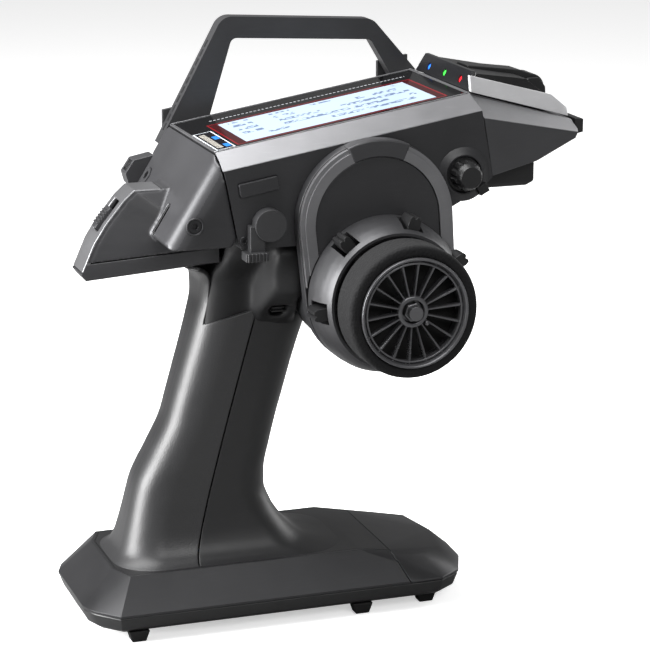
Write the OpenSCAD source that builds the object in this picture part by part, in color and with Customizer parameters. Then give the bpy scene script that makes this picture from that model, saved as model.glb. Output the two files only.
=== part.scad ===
// Pistol-grip radio transmitter for remote-control models.
// The head carries the display, the steering wheel stands on its right side (-Y), the trigger
// hangs below it, and the grip runs down and back to a weighted base that stands on a table.
// +X points to the nose, +Y to the user's left, +Z up. Millimetres throughout.

/* [Head] */
// Half of the head's width
head_half = 42; // [41:0.5:43]
// Half of the display glass's width
glass_half = 33; // [32:0.5:34]
// Slope of the display, rising to the nose
pitch = 9.4; // [8.8:0.1:10]
// Height of the display's rear edge above the table
glass_rear_z = 205; // [204:0.5:206]
// Drop of the silver bevel beside the display
bevel_drop = 6.5; // [6:0.25:7]
// Wall thickness of the moulded shells
wall = 2.4; // [2:0.1:2.8]
// Width of the gap at a parting line
seam = 0.2; // [0.15:0.05:0.3]

/* [Steering] */
// Distance of the wheel's axis ahead of the grip's reference
wheel_x = 8; // [7:0.25:9]
// Height of the wheel's axis above the table
wheel_z = 145.6; // [145:0.2:146.2]
// Outer radius of the foam grip of the wheel
foam_r = 27.2; // [26:0.1:29]
// Outer radius of the spoked rim
rim_r = 22.6; // [21.8:0.1:23]
// Number of spokes
spokes = 18; // [12:1:20]
// Radius of the steering shaft
shaft_r = 3; // [2.8:0.1:3.2]
// Radius of the trim collar at its back edge
collar_r = 32.6; // [32.2:0.1:33]

/* [Controls] */
// Radius of the trigger's pivot pin
trigger_pin_r = 2; // [1.8:0.1:2.2]
// Radius of the dial knob
dial_r = 6.2; // [5.8:0.1:6.4]
// Radius of the lever's round boss
lever_r = 6.6; // [6.2:0.1:6.8]
// Radius of the headphone jack's bore
jack_r = 1.8; // [1.75:0.05:1.9]

/* [Grip and base] */
// Half of the base's width at the bottom of its metal-coloured band
base_half = 40; // [39:0.5:41]
// Half of the base's width at its top edge
base_top_half = 30; // [29:0.5:31]
// Height of the feet
foot_h = 5; // [4:0.5:5.5]
// Height of the band's bottom edge
band_z = 13; // [12.5:0.25:13.5]

/* [Handle] */
// Thickness of the carrying handle
handle_t = 7; // [6:0.5:7.5]
// Height of the carrying handle's top above the table
handle_z = 250; // [248:0.5:252]

/* [Hidden] */
$fn = 48;
run = 0.05;        // radial running clearance of pins and shafts
gap = 0.35;        // clearance between a moving piece and its neighbours
rise = tan(pitch);
glass_rear_x = -58.5;
glass_front_x = 51.7;
side_y = -head_half;
plate_y = side_y - 5.5;        // edge of the arch plate
face_y = side_y - 8;           // flat face of the arch plate
collar_front_y = face_y - 17;  // front edge of the trim collar
wheel_back_y = collar_front_y - 2;
wheel_front_y = wheel_back_y - 18.5;
shaft_end_y = wheel_front_y - 0.5;
rocker_angles = [26, 75, 130, 187];
trigger_x = 24;
trigger_z = 172;
lever_at = [-39.3, 176.4];
dial_at = [46, 191];
sw1_at = [-42.8, 191.7];
left_button_x = [-30, 22];
rear_slope = [-25, -40];       // direction of the rear face, down and back
pod_edge_r = 9;                // radius of the rear pod's side edges
tail_half = 21;                // half width of the tail where it meets the grip
jack_at = [23.4, 27];          // distance down the rear face, and y
card_at = [34.5, -17];
encoder_at = [24, 1.4];         // the edit wheel's distance down the rear face, and out from it
encoder_y = [33.2, 41.8];
// x, z and head radius of the screws on the right side
side_screws = [[-69.6, 177, 2.9], [-49, 169.6, 1.8]];
handle_screws = [-52, 46];
base_top_z = 27.4;             // top of the base under the grip
foot_x = [-94, 5, 36];
foot_y = [32.5, 32.5, 28];
// Shift that puts the origin at the bottom centre of the whole part's box
rear_end = -115;
nose_end = 109.4;
lug_t = 2.2;                   // thickness of the handle's lugs
origin_shift = [-(rear_end + nose_end) / 2, -(shaft_end_y + head_half + lug_t) / 2, 0];

// Height of the display's plane at x
function deck(x) = glass_rear_z + (x - glass_rear_x) * rise;

// ---------------------------------------------------------------- helpers

// Extrudes an outline drawn in X and Z from y0 to y1
module across(y0, y1) {
    translate([0, y1, 0]) rotate([90, 0, 0]) linear_extrude(y1 - y0) children();
}

// Round bar along Y, centred on x and z
module bar_y(x, z, r, y0, y1) {
    translate([x, y1, z]) rotate([90, 0, 0]) cylinder(r = r, h = y1 - y0);
}

// Box between two corners
module span(low, high) {
    translate(low) cube(high - low);
}

// Copies its children on both sides of the middle plane
module both_sides() {
    children();
    mirror([0, 1, 0]) children();
}

// Places its children on the display's sloping plane, at distance x from its rear edge
module on_deck(x = 0, drop = 0) {
    translate([glass_rear_x, 0, glass_rear_z]) rotate([0, -pitch, 0]) translate([x, 0, -drop]) children();
}

// Flat plate outline with rounded corners, drawn around its centre
module rounded_plate(size, r) {
    offset(r) square([size.x - 2 * r, size.y - 2 * r], center = true);
}

// Removes the two sloping bevels beside the display, shifted inwards by t
module deck_bevels(t = 0) {
    run_y = head_half - glass_half;
    long = norm([run_y, bevel_drop]);
    both_sides() on_deck() rotate([90, 0, 90]) translate([-bevel_drop * t / long, -run_y * t / long, -90])
        linear_extrude(320) polygon([
            [glass_half - run_y, bevel_drop], [glass_half + 3 * run_y, -3 * bevel_drop],
            [glass_half + 3 * run_y, 40], [glass_half - run_y, 40]
        ]);
}

// Socket screw along its own axis: the head stands on z = 0 and the shank runs down by h
module screw(r, h) {
    difference() {
        translate([0, 0, -h]) cylinder(r = r * 0.5, h = h + 1.6);
        translate([0, 0, 0.5]) cylinder(r = r * 0.45, h = 2, $fn = 6);
    }
    difference() {
        cylinder(r = r, h = 1.6);
        translate([0, 0, -1]) cylinder(r = r * 0.5, h = 4);
    }
}

// ---------------------------------------------------------------- head shells

module head_outline() {
    polygon([
        [glass_rear_x + seam, deck(glass_rear_x)], [glass_front_x, deck(glass_front_x)], [54, 217],
        [59.3 - seam, 189], [55.3, 184.9], [40, 177], [34, 166], [-50, 166], [-52 + seam, 170.8]
    ]);
}

module head_mass(t = 0) {
    difference() {
        across(-head_half + t, head_half - t) offset(delta = -t) head_outline();
        deck_bevels(t);
    }
}

// Openings that both halves of the head share
module head_openings() {
    // seat of the display glass and module
    on_deck() span([1.6, -glass_half - 0.1, -8.6], [110.4, glass_half + 0.1, 3]);
    // trigger bracket opening in the floor
    span([2, -12.2, 160], [44, 12.2, 176]);
    // steering shaft and housing behind the arch plate
    bar_y(wheel_x, wheel_z, 30.4, side_y - 1, -15);
    // lever, dial and button wells
    bar_y(lever_at.x, lever_at.y, 2.2, side_y - 1, -30);
    bar_y(dial_at.x, dial_at.y, 2.2, side_y - 1, -30);
    bar_y(dial_at.x, dial_at.y, dial_r + 1.6, side_y - 1, side_y + 2);
    across(side_y - 1, -30) sw1_outline(0.25);
    for (x = left_button_x)
        left_button(x, 0.25, 36);
    screw_holes();
}

module sw1_outline(grow = 0) {
    translate(sw1_at) rotate(pitch) offset(grow) offset(0.8) square([15, 4], center = true);
}

module left_button(x, grow, y0) {
    across(y0, head_half + 2) translate([x, deck(x) - 20]) rotate(pitch)
        offset(grow + 1.5) square([9, 3], center = true);
}

module head_half_shell(low_y, high_y) {
    intersection() {
        difference() {
            head_mass();
            head_mass(wall);
            // the half shells are open at both ends, towards the rear cover and the nose
            across(-head_half + wall, head_half - wall) polygon([
                [-60, 203.5 - wall], [-40, 203], [-40, 173], [-54, 173]
            ]);
            across(-head_half + wall, head_half - wall) polygon([
                [40, 216 - wall], [60, 219 - wall], [62, 191], [40, 190]
            ]);
            head_openings();
        }
        span([-80, low_y, 150], [80, high_y, 240]);
    }
}

module head_shell_right() color("#3a3a3d") {
    head_half_shell(-50, -seam / 2);
    // screw boss that carries the lever's pivot
    difference() {
        bar_y(lever_at.x, lever_at.y, 4, -39.6, -31);
        bar_y(lever_at.x, lever_at.y, 2 + run, -50, -30);
    }
    difference() {
        bar_y(dial_at.x, dial_at.y, 4, -39.6, -31);
        bar_y(dial_at.x, dial_at.y, 2 + run, -50, -30);
    }
}

module head_shell_left() color("#3a3a3d") head_half_shell(seam / 2, 50);

// ---------------------------------------------------------------- rear of the head

// Side outline of the rear pod, which carries the jack and the card slot
module pod_outline() {
    polygon([
        [glass_rear_x - seam, deck(glass_rear_x)], [-80.8, 169.4], [-79, 167.2], [-54, 167.2], [-52 - seam, 170.8]
    ]);
}

// Places its children on the rear face: Z climbs along the slope and X points into the pod
module on_rear(down = 0, y = 0) {
    translate([glass_rear_x, y, glass_rear_z]) rotate([0, atan2(rear_slope.x, rear_slope.y) + 180, 0])
        translate([0, 0, -down]) children();
}

// The pod's rear face runs into its sides over large rounded edges
module pod_mass(t = 0) {
    intersection() {
        across(-head_half + t, head_half - t) offset(delta = -t) pod_outline();
        on_rear() translate([t, 0, -80]) linear_extrude(140)
            translate([pod_edge_r - t, -head_half + pod_edge_r]) offset(pod_edge_r - t)
                square([60, 2 * (head_half - pod_edge_r)]);
    }
}

// Ridge outline of the tail, which carries the power switch
module ridge_outline(t = 0) {
    offset(delta = -t) polygon([
        [-106.6, 149.6], [-108.6, 152.4], [-103, 165], [-98, 172.7], [-90, 182.4], [-85.5, 186.4],
        [-66, 186.4], [-60, 158], [-60, 153.6]
    ]);
}

module tail_mass(t = 0) {
    hull() {
        across(-8 + t, 8 - t) ridge_outline(t);
        span([-60, -tail_half + t, 156.5 + t], [-53 - seam, tail_half - t, 167 - t]);
    }
}

// Everything above this sloping plane belongs to the rear cover, all below to the tail cover
module tail_split(above) {
    across(-60, 60) polygon(above
        ? [[-130, 153.6 + seam], [-40, 164.8 + seam], [-40, 240], [-130, 240]]
        : [[-130, 153.6], [-40, 164.8], [-40, 120], [-130, 120]]);
}

module rear_cover() color("#6d6d71") {
    difference() {
        union() {
            pod_mass();
            intersection() {
                tail_mass();
                tail_split(true);
            }
        }
        difference() {
            union() {
                pod_mass(wall);
                tail_mass(wall);
            }
            // keeps a floor along the split and one under the strip
            across(-60, 60) polygon([[-130, 150], [-40, 161.2], [-40, 167.2], [-130, 156]]);
            across(-10.5, 10.5) ridge_band(-3, 4.6, 150);
        }
        // open towards the head shells
        across(-head_half + wall, head_half - wall) polygon([
            [-57.6, 198], [-50, 199.4], [-48, 171], [-72, 171]
        ]);
        deck_bevels();
        across(-8.1, 8.1) ridge_band(-3, 2.35, 153);
        on_strip() span([-4, -3.6, -7.6], [9, 3.6, 7.6]);
        // well of the jack and of the card slot
        on_rear(jack_at[0], jack_at[1]) rotate([0, 90, 0]) cylinder(r = 3.6, h = 30, center = true);
        card_pocket(0.1);
        on_rear() across(encoder_y[0] - 0.1, 44) encoder_outline(0.1);
        screw_holes();
    }
}

// Band along the ridge between two depths below its surface
module ridge_band(top, bottom, low_z) {
    intersection() {
        difference() {
            ridge_outline(top);
            ridge_outline(bottom);
        }
        polygon([[-114, low_z], [-100, low_z], [-73.8, 178], [-73.8, 192], [-114, 192]]);
    }
}

module card_pocket(grow) {
    on_rear(card_at[0], card_at[1]) span([-1, -1.6 - grow, -7 - grow], [9, 1.6 + grow, 7 + grow]);
}

// Side outline of the lug that holds the edit wheel, in the rear face's own frame
module encoder_outline(grow) {
    offset(delta = grow) polygon([
        [10, -15], [0.4, -14.6], [-6, -20.6], [-6.3, -27.4], [-2.6, -30.8], [0, -31.4], [10, -32]
    ]);
}

// Lower cover of the tail, up to the back of the grip
module tail_cover() color("#303033") {
    difference() {
        intersection() {
            tail_mass();
            tail_split(false);
        }
        intersection() {
            tail_mass(wall);
            across(-60, 60) polygon([[-130, 140], [-130, 151.2], [-40, 162.4], [-40, 140]]);
        }
        across(-8.1, 8.1) ridge_band(-3, 2.35, 153);
    }
}

// Light strip along the ridge, with the slot that the power switch slides in
module power_strip() color("#8f9094") {
    difference() {
        across(-8, 8) ridge_band(0, 2.25, 153.2);
        on_strip() span([-4, -3.6, -7.6], [9, 3.6, 7.6]);
    }
}

// Places its children on the strip's surface at the switch: Z climbs along the strip, X points inwards
module on_strip() {
    translate([-95.6, 0, 175.6]) rotate([0, 39.5, 0]) children();
}

// Slides along the strip from off to on
module power_switch() color("#a5a6aa") {
    on_strip() translate([0, 0, -2]) {
        span([-1.2, -3.2, -5.2], [3.4, 3.2, 5.2]);
        for (z = [-3 : 1.5 : 3])
            span([-1.9, -3.2, z - 0.4], [-1.1, 3.2, z + 0.4]);
    }
}

// Lug at the left edge of the rear pod, slotted for the edit wheel
module encoder_housing() color("#47474a") {
    mid = (encoder_y[0] + encoder_y[1]) / 2;
    difference() {
        on_rear() across(encoder_y[0], encoder_y[1]) encoder_outline(0);
        encoder_axis(mid) cylinder(r = 5.3, h = 5.2, center = true);
        encoder_axis(mid) cylinder(r = 1.2 + run, h = 7.2, center = true);
        deck_bevels();
    }
}

// Places its children on the edit wheel's axis, along Y
module encoder_axis(y) {
    on_rear(encoder_at[0], y) translate([-encoder_at[1], 0, 0]) rotate([90, 0, 0]) children();
}

// Ribbed edit wheel on its own pin, turning about Y
module edit_encoder() color("#1d1d1f") {
    encoder_axis((encoder_y[0] + encoder_y[1]) / 2) {
        cylinder(r = 1.2, h = 7, center = true);
        difference() {
            cylinder(r = 4.9, h = 4.4, center = true);
            for (i = [0 : 17])
                rotate(20 * i) translate([5, 0, 0]) cylinder(r = 0.4, h = 5, center = true, $fn = 16);
        }
    }
}

module headphone_jack() color("#151517") {
    on_rear(jack_at[0], jack_at[1]) rotate([0, -90, 0]) difference() {
        translate([0, 0, -12]) cylinder(r = 3.5, h = 12.4);
        translate([0, 0, -10.5]) cylinder(r = jack_r, h = 20);
    }
}

// Spring-contact socket of the memory card, open at its mouth
module card_socket() color("#101012") {
    on_rear(card_at[0], card_at[1]) difference() {
        span([0.4, -1.6, -7], [9, 1.6, 7]);
        span([-1, -0.8, -6], [7.6, 0.8, 6]);
    }
}

// ---------------------------------------------------------------- display

module display_glass() color("#0c0c0f") {
    on_deck(0, 1.6) translate([56, 0, 0]) linear_extrude(1.6)
        rounded_plate([108.6, 2 * glass_half - 0.2], 1.2);
}

module display_module() color("#c9dcec") {
    on_deck() {
        span([12, -24, -7.2], [102, 24, -1.6 - seam]);
        for (y = [-28, 28])
            translate([56, y, -8]) cylinder(r = 1.6, h = 6);
    }
}

module main_board() color("#1f5a36") {
    on_deck() difference() {
        span([8, -32, -14], [98, 32, -12.4]);
        for (x = [14, 92], y = [-28, 28])
            translate([x, y, -20]) cylinder(r = 1.6, h = 20);
    }
    on_deck() {
        span([22, -14, -16.5], [40, 4, -14]);
        span([52, -8, -15.6], [64, 4, -14]);
        for (x = [70 : 5 : 90])
            span([x, 10, -16], [x + 3, 20, -14]);
    }
}

module radio_board() color("#1d4d6a") {
    span([62, -16, 199], [92, 16, 200.4]);
    span([66, -10, 200.4], [80, 8, 203]);
}

// ---------------------------------------------------------------- nose

module nose_outline(t = 0) {
    offset(delta = -t) polygon([
        [51.9, deck(glass_front_x) - 0.3], [104, 207.2], [105.4, 203.4], [103.6, 200],
        [83.2, 192.6], [59.6 + seam, 189], [54.4, 217]
    ]);
}

// Plan of the nose: it narrows towards its front end
module nose_plan(t) {
    linear_extrude(120) offset(delta = -t) polygon([
        [40, -head_half], [54.5, -head_half], [106, -26], [107, -24], [107, 24], [106, 26],
        [54.5, head_half], [40, head_half]
    ]);
}

module nose_mass(t = 0) {
    difference() {
        intersection() {
            across(-head_half, head_half) nose_outline(t);
            translate([0, 0, 150]) nose_plan(t);
        }
        // bevel that carries on from the head and narrows to the tip
        both_sides() nose_bevel(t);
    }
}

module nose_bevel(t) {
    hull() {
        translate([50, 0, deck(50)]) bevel_wedge(glass_half - t, t);
        translate([108, 0, 206.6]) bevel_wedge(19 - t, t);
    }
}

module bevel_wedge(y, t) {
    rotate([90, 0, 90]) linear_extrude(0.2) polygon([
        [y, -t], [y + 18, -13.8 - t], [y + 18, 6], [y, 6]
    ]);
}

module nose_shell() color("#4a4a4e") {
    difference() {
        nose_mass();
        nose_mass(wall);
        // open towards the head
        span([50, -head_half + 5, 193], [62, head_half - 5, 214]);
        antenna_well(0.1);
    }
}

// Sunk bed under the antenna's knuckle
module antenna_well(grow) {
    span([84 - grow, -9 - grow, 203], [99 + grow, 9 + grow, 230]);
}

// Painted panels that rise from the bevel to the top cover
module nose_side_panels() color("#b9babd") {
    both_sides() hull() {
        side_panel_slab(52.8, deck(glass_front_x) + 0.1, 230.4, 32.6, 2.4);
        side_panel_slab(94, 211.2, 218.2, 22.6, 2.4);
        side_panel_slab(102.2, 208.6, 212, 20.4, 2.4);
    }
}

module side_panel_slab(x, low, high, y, t) {
    translate([x, 0, 0]) rotate([90, 0, 90]) linear_extrude(0.4) polygon([
        [y, low], [y - t, low], [y - t - 1.6, high], [y - 1.6, high]
    ]);
}

// Top cover between the side panels
module nose_top_cover() color("#242427") {
    difference() {
        hull() {
            top_slab(57.6, 227.4, 229.8, 26.7);
            top_slab(82, 217, 225.6, 20.6);
            top_slab(98.6, 210.4, 213.2, 16.6);
        }
        // room beneath
        hull() {
            top_slab(56, 220, 227.4, 24.5);
            top_slab(80, 212, 223.2, 18.2);
            top_slab(96, 207, 211, 14.2);
        }
        antenna_bed(0.3);
    }
}

module top_slab(x, low, high, half) {
    translate([x, -half, low]) cube([0.6, 2 * half, high - low]);
}

// Groove that the folded antenna lies in, and the well around its knuckle
module antenna_bed(grow) {
    across(-6.5 - grow, 6.5 + grow)
        polygon([[60, 227.2 - grow], [86, 220.8 - grow], [86, 236], [60, 236]]);
    span([84.2 - grow, -9 - grow, 200], [101, 9 + grow, 236]);
}

// Folded short antenna: its knuckle stands at the nose and the blade lies back on the cover
module antenna_arm() color("#2b2b2e") {
    difference() {
        union() {
            bar_y(91.5, 219, 6, -6.2, 6.2);
            across(-6.2, 6.2) polygon([[62, 227.7], [62, 230.2], [86, 227], [91.5, 225], [91.5, 215.6], [86, 221.4]]);
        }
        bar_y(91.5, 219, 1.5 + run, -8, 8);
    }
}

module antenna_pin() color("#8a8a8e") {
    bar_y(91.5, 219, 1.5, -7.4, 7.4);
    // ears that hold the pin
    both_sides() difference() {
        across(6.6, 8.8) polygon([[85, 204.2], [98, 204.2], [97, 219.6], [94, 223.6], [89, 223.6], [86, 220.6]]);
        bar_y(91.5, 219, 1.5, 0, 7.4);
    }
    // foot on the floor of the well
    span([85, -8.8, 202.2], [98, 8.8, 204.2]);
}

module nose_bumper() color("#141416") {
    hull() {
        span([105.6, -21, 200.8], [107, 21, 207.4]);
        span([108, -21.4, 201.4], [nose_end, 21.4, 207]);
    }
}

// Small box under the nose for the update port
module sensor_box() color("#232326") {
    difference() {
        hull() {
            span([62.5, -24, 182], [86, 24, 195]);
            span([63.5, -23.5, 180.2], [82.5, 23.5, 182]);
        }
        span([64.6, -22, 182.4], [83.6, 22, 188]);
        nose_mass(-seam);
    }
}

module led_pod() color("#1b1b1e") {
    difference() {
        hull() {
            translate([glass_front_x + 0.6, -29.6, deck(glass_front_x) + 0.2]) cube([1.6, 59.2, 0.4]);
            translate([55.6, -26.9, 229.6]) cube([1.6, 53.8, 1.4]);
        }
        for (y = [-17.8, 0, 17.8])
            led_place(y) cylinder(r = 1.7, h = 12, center = true);
    }
}

module led_place(y) {
    translate([54.6, y, 226.2]) rotate([0, -63, 0]) children();
}

module status_leds() {
    for (i = [0 : 2])
        color(["#e0202a", "#27d23a", "#2b6cf0"][i]) led_place(17.8 * (i - 1)) {
            translate([0, 0, -2]) cylinder(r = 1.6, h = 2.6);
        }
}

module strap_eyelet() color("#19191b") {
    translate([53.9, 0, 184.6]) rotate([0, -28, 0]) difference() {
        span([-2.2, side_y - 3, -1.9], [2.2, side_y - 0.2, 1.9]);
        translate([0, side_y - 1.6, 0]) rotate([0, 90, 0]) cylinder(r = 0.9, h = 8, center = true);
    }
}

// ---------------------------------------------------------------- carrying handle

module carry_handle() color("#39393c") {
    difference() {
        across(head_half - handle_t, head_half) difference() {
            offset(7) offset(-7) polygon([
                [-63.6, 195.5], [-34, handle_z], [34, handle_z - 4], [57, 219.6], [60, 196], [-63.6, 184]
            ]);
            offset(3) offset(-3) polygon([
                [-41, 205], [-30, handle_z - 9.5], [33, handle_z - 13], [43.5, 219.5], [40, 205]
            ]);
        }
        // its feet stand on the head, the rear pod and the nose
        head_mass();
        nose_mass();
        difference() {
            pod_mass();
            deck_bevels();
        }
        across(-60, 60) polygon([[-90, deck(-90) - 7.5], [90, deck(90) - 7.5], [90, 150], [-90, 150]]);
    }
    // lugs that run down beside the head's left face
    for (x = handle_screws)
        difference() {
            across(head_half, head_half + lug_t) polygon([
                [x - 7, deck(x) - 16], [x - 7, deck(x - 7) + 5], [x + 7, deck(x + 7) + 5], [x + 7, deck(x) - 16]
            ]);
            bar_y(x, deck(x) - 11, 1.6, head_half + 0.5, head_half + 3);
            bar_y(x, deck(x) - 11, 0.8, head_half - 1, head_half + 3);
        }
}

// ---------------------------------------------------------------- steering

module arch_outline(inset = 0) {
    offset(delta = -inset) hull() {
        translate([5.5, 175.5]) circle(r = 33.4, $fn = 96);
        translate([wheel_x, wheel_z]) circle(r = collar_r, $fn = 96);
    }
}

// Arch plate with the drum behind it that holds the bearings, the spring and the sensor
module steering_housing() color("#2d2d30") {
    difference() {
        union() {
            across(plate_y, side_y - seam) arch_outline(0);
            across(face_y, plate_y) arch_outline(6.6);
            bar_y(wheel_x, wheel_z, 30, side_y - seam, -17);
        }
        // spring chamber, open at the back
        bar_y(wheel_x, wheel_z, 26.5, -44, -16);
        // front bearing seat and shaft passage
        bar_y(wheel_x, wheel_z, 6.5, face_y - 1, -43);
        // the plate is a shell, open towards the head
        across(plate_y + wall, side_y) difference() {
            arch_outline(wall);
            translate([wheel_x, wheel_z]) circle(r = 30);
        }
    }
    // rear web with the second bearing seat
    difference() {
        bar_y(wheel_x, wheel_z, 26.5, -19.5, -17);
        bar_y(wheel_x, wheel_z, 6.5, -20, -16);
    }
}

// Silver band around the edge of the arch plate, with its raised step at the top
module arch_bezel() color("#9a9b9f") {
    across(face_y + 0.4, plate_y) difference() {
        arch_outline(0.5);
        arch_outline(6.5);
        bezel_cut();
    }
    across(face_y - 0.6, face_y + 0.4) difference() {
        arch_outline(2.2);
        arch_outline(6.5);
        bezel_cut();
    }
}

// The band ends where the trim collar covers it
module bezel_cut() {
    translate([wheel_x, wheel_z]) circle(r = collar_r + 0.4, $fn = 96);
    translate([-60, 90]) square([120, wheel_z - 98]);
}

module trim_collar() color("#7f8084") {
    difference() {
        translate([wheel_x, face_y - seam, wheel_z]) rotate([90, 0, 0]) rotate_extrude($fn = 96) polygon([
            [24.5, 0], [collar_r, 0], [collar_r - 0.3, 5], [31, 10.5], [29.4, 14.6], [28.3, 16.6],
            [27.2, 16.6], [25.6, 14.6], [25.6, 2.4], [24.5, 2.4]
        ]);
        for (a = rocker_angles)
            rocker_frame(a) span([22, -4.4, -14.5], [40, 4.4, -3.6]);
    }
}

// Local frame of a trim rocker: X points out from the wheel's axis, Z runs along it
module rocker_frame(a) {
    translate([wheel_x, face_y, wheel_z]) rotate([90, 0, 0]) rotate([0, 0, a]) mirror([0, 0, 1]) children();
}

// Ribbed rocker that tips sideways about a pin parallel to the wheel's axis
module trim_rocker(a) color("#232326") {
    rocker_frame(a) {
        translate([22.2, 0, -14.2]) cylinder(r = 1.4, h = 10);
        translate([22.2, 0, -13.8]) linear_extrude(9.4) polygon([
            [0, -1], [8, -2.6], [11, -2.6], [12.6, -1.8], [12.6, -0.7], [11.6, 0], [12.6, 0.7],
            [12.6, 1.8], [11, 2.6], [8, 2.6], [0, 1]
        ]);
    }
}

module trim_rocker_1() trim_rocker(rocker_angles[0]);
module trim_rocker_2() trim_rocker(rocker_angles[1]);
module trim_rocker_3() trim_rocker(rocker_angles[2]);
module trim_rocker_4() trim_rocker(rocker_angles[3]);

// Shaft with the cam arm that the return spring closes on
module steering_shaft() color("#c4c5c8") {
    bar_y(wheel_x, wheel_z, shaft_r, shaft_end_y, -9);
    difference() {
        across(-37, -34) translate([wheel_x, wheel_z]) offset(1.5) polygon([[-4.5, -4], [4.5, -4], [1.5, 16], [-1.5, 16]]);
        bar_y(wheel_x, wheel_z, shaft_r, -40, -30);
    }
}

// Two ball bearings, drawn as plain rings around the shaft
module shaft_bearings() color("#d5d6d8") {
    for (y = [-47.5, -19.5])
        difference() {
            bar_y(wheel_x, wheel_z, 6.5, y, y + 2.5);
            bar_y(wheel_x, wheel_z, shaft_r + run, y - 1, y + 4);
        }
}

module steering_sensor() color("#26628a") {
    difference() {
        union() {
            bar_y(wheel_x, wheel_z, 8, -16.9, -10);
            span([wheel_x - 6, -16.9, wheel_z - 14], [wheel_x + 6, -13, wheel_z - 6]);
        }
        bar_y(wheel_x, wheel_z, shaft_r + run, -18, -8);
    }
}

// Centring spring around the shaft: flat turns in a plain stack
module steering_spring() color("#8d8e92") {
    for (y = [-32 : 2 : -24])
        difference() {
            bar_y(wheel_x, wheel_z, 9, y, y + 1.4);
            bar_y(wheel_x, wheel_z, 7.6, y - 1, y + 2);
        }
    span([wheel_x - 9, -32, wheel_z + 4], [wheel_x - 7.6, -22.6, wheel_z + 5.4]);
}

module wheel_rim() color("#3b3b3e") {
    difference() {
        union() {
            // barrel under the foam and the front lips
            translate([wheel_x, wheel_front_y, wheel_z]) rotate([-90, 0, 0]) rotate_extrude($fn = 96) polygon([
                [rim_r - 1.2, 0], [rim_r, 0], [rim_r, 1.2], [rim_r - 0.8, 1.2], [rim_r - 0.8, 18.5],
                [rim_r - 6, 18.5], [rim_r - 6, 16.5], [rim_r - 2.6, 16.5], [rim_r - 2.6, 2], [rim_r - 1.2, 1]
            ]);
            // rear disc
            bar_y(wheel_x, wheel_z, rim_r - 3, wheel_back_y - 2.4, wheel_back_y - 0.4);
            // hub
            bar_y(wheel_x, wheel_z, 6.4, wheel_front_y + 4.4, wheel_back_y - 0.4);
            // spokes
            for (i = [0 : spokes - 1])
                translate([wheel_x, 0, wheel_z]) rotate([0, 360 / spokes * i, 0])
                    span([6, wheel_front_y + 2.6, -0.55], [rim_r - 2, wheel_front_y + 5.4, 0.55]);
        }
        bar_y(wheel_x, wheel_z, 4.6, wheel_front_y - 1, wheel_front_y + 8);
        bar_y(wheel_x, wheel_z, shaft_r, wheel_front_y, wheel_back_y + 1);
    }
}

module wheel_foam() color("#1c1c1e") {
    translate([wheel_x, wheel_front_y + 1.4, wheel_z]) rotate([-90, 0, 0]) rotate_extrude($fn = 96) difference() {
        translate([rim_r - 0.8, 0]) offset(2.4) offset(-2.4) square([foam_r - rim_r + 0.8, 17]);
        square([rim_r - 0.7, 40]);
    }
}

module wheel_nut() color("#6b6c70") {
    difference() {
        translate([wheel_x, wheel_front_y + 7.9, wheel_z]) rotate([90, 0, 0]) cylinder(r = 4.2, h = 4.4, $fn = 6);
        bar_y(wheel_x, wheel_z, shaft_r, wheel_front_y, wheel_front_y + 9);
    }
}

// ---------------------------------------------------------------- trigger

module trigger_side() {
    offset(2) polygon([
        [trigger_x - 3, trigger_z - 1], [trigger_x + 3, trigger_z - 1], [35.5, 150], [37, 129],
        [32, 122], [19, 122], [14.5, 128], [15, 141], [18, 152], [18, 163]
    ]);
}

// The hole that the finger goes through
module finger_hole() {
    offset(2.5) polygon([[23.5, 150.5], [31, 147], [32.2, 131], [28.8, 126.4], [21.5, 126.4], [19, 130], [20, 141]]);
}

// Trigger with its finger loop
module trigger() color("#242427") {
    difference() {
        union() {
            across(-7.5, 7.5) trigger_side();
            bar_y(trigger_x, trigger_z, 6, -9, 9);
        }
        across(-8, 8) finger_hole();
        bar_y(trigger_x, trigger_z, trigger_pin_r + run, -12, 12);
    }
}

module trigger_pin() color("#c4c5c8") bar_y(trigger_x, trigger_z, trigger_pin_r, -14, 17);

// Bracket that hangs in the head's floor and holds the pivot pin
module trigger_bracket() color("#4a4b4f") {
    difference() {
        union() {
            both_sides() across(9.4, 12) translate([trigger_x - 10, 163]) square([20, 19]);
            span([trigger_x - 10, -12, 182], [trigger_x + 10, 12, 184]);
        }
        bar_y(trigger_x, trigger_z, trigger_pin_r, -13, 13);
    }
}

module trigger_spring() color("#8d8e92") {
    for (y = [12.4 : 1.2 : 14.8])
        difference() {
            bar_y(trigger_x, trigger_z, 3.4, y, y + 0.9);
            bar_y(trigger_x, trigger_z, 2.5, y - 1, y + 2);
        }
    span([trigger_x - 3.4, 12.4, trigger_z], [trigger_x - 2.5, 15.7, trigger_z + 8]);
}

module trigger_sensor() color("#26628a") {
    difference() {
        span([trigger_x - 7, 16, trigger_z - 3], [trigger_x + 7, 20, trigger_z + 9]);
        bar_y(trigger_x, trigger_z, trigger_pin_r, 15, 17);
    }
}

// ---------------------------------------------------------------- side controls

module sw1_button() color("#343437") {
    across(side_y - 1.6, side_y + 3) sw1_outline();
}

module sw2_button() color("#343437") left_button(left_button_x[0], 0, head_half - 3.4);
module sw3_button() color("#343437") left_button(left_button_x[1], 0, head_half - 3.4);

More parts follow.
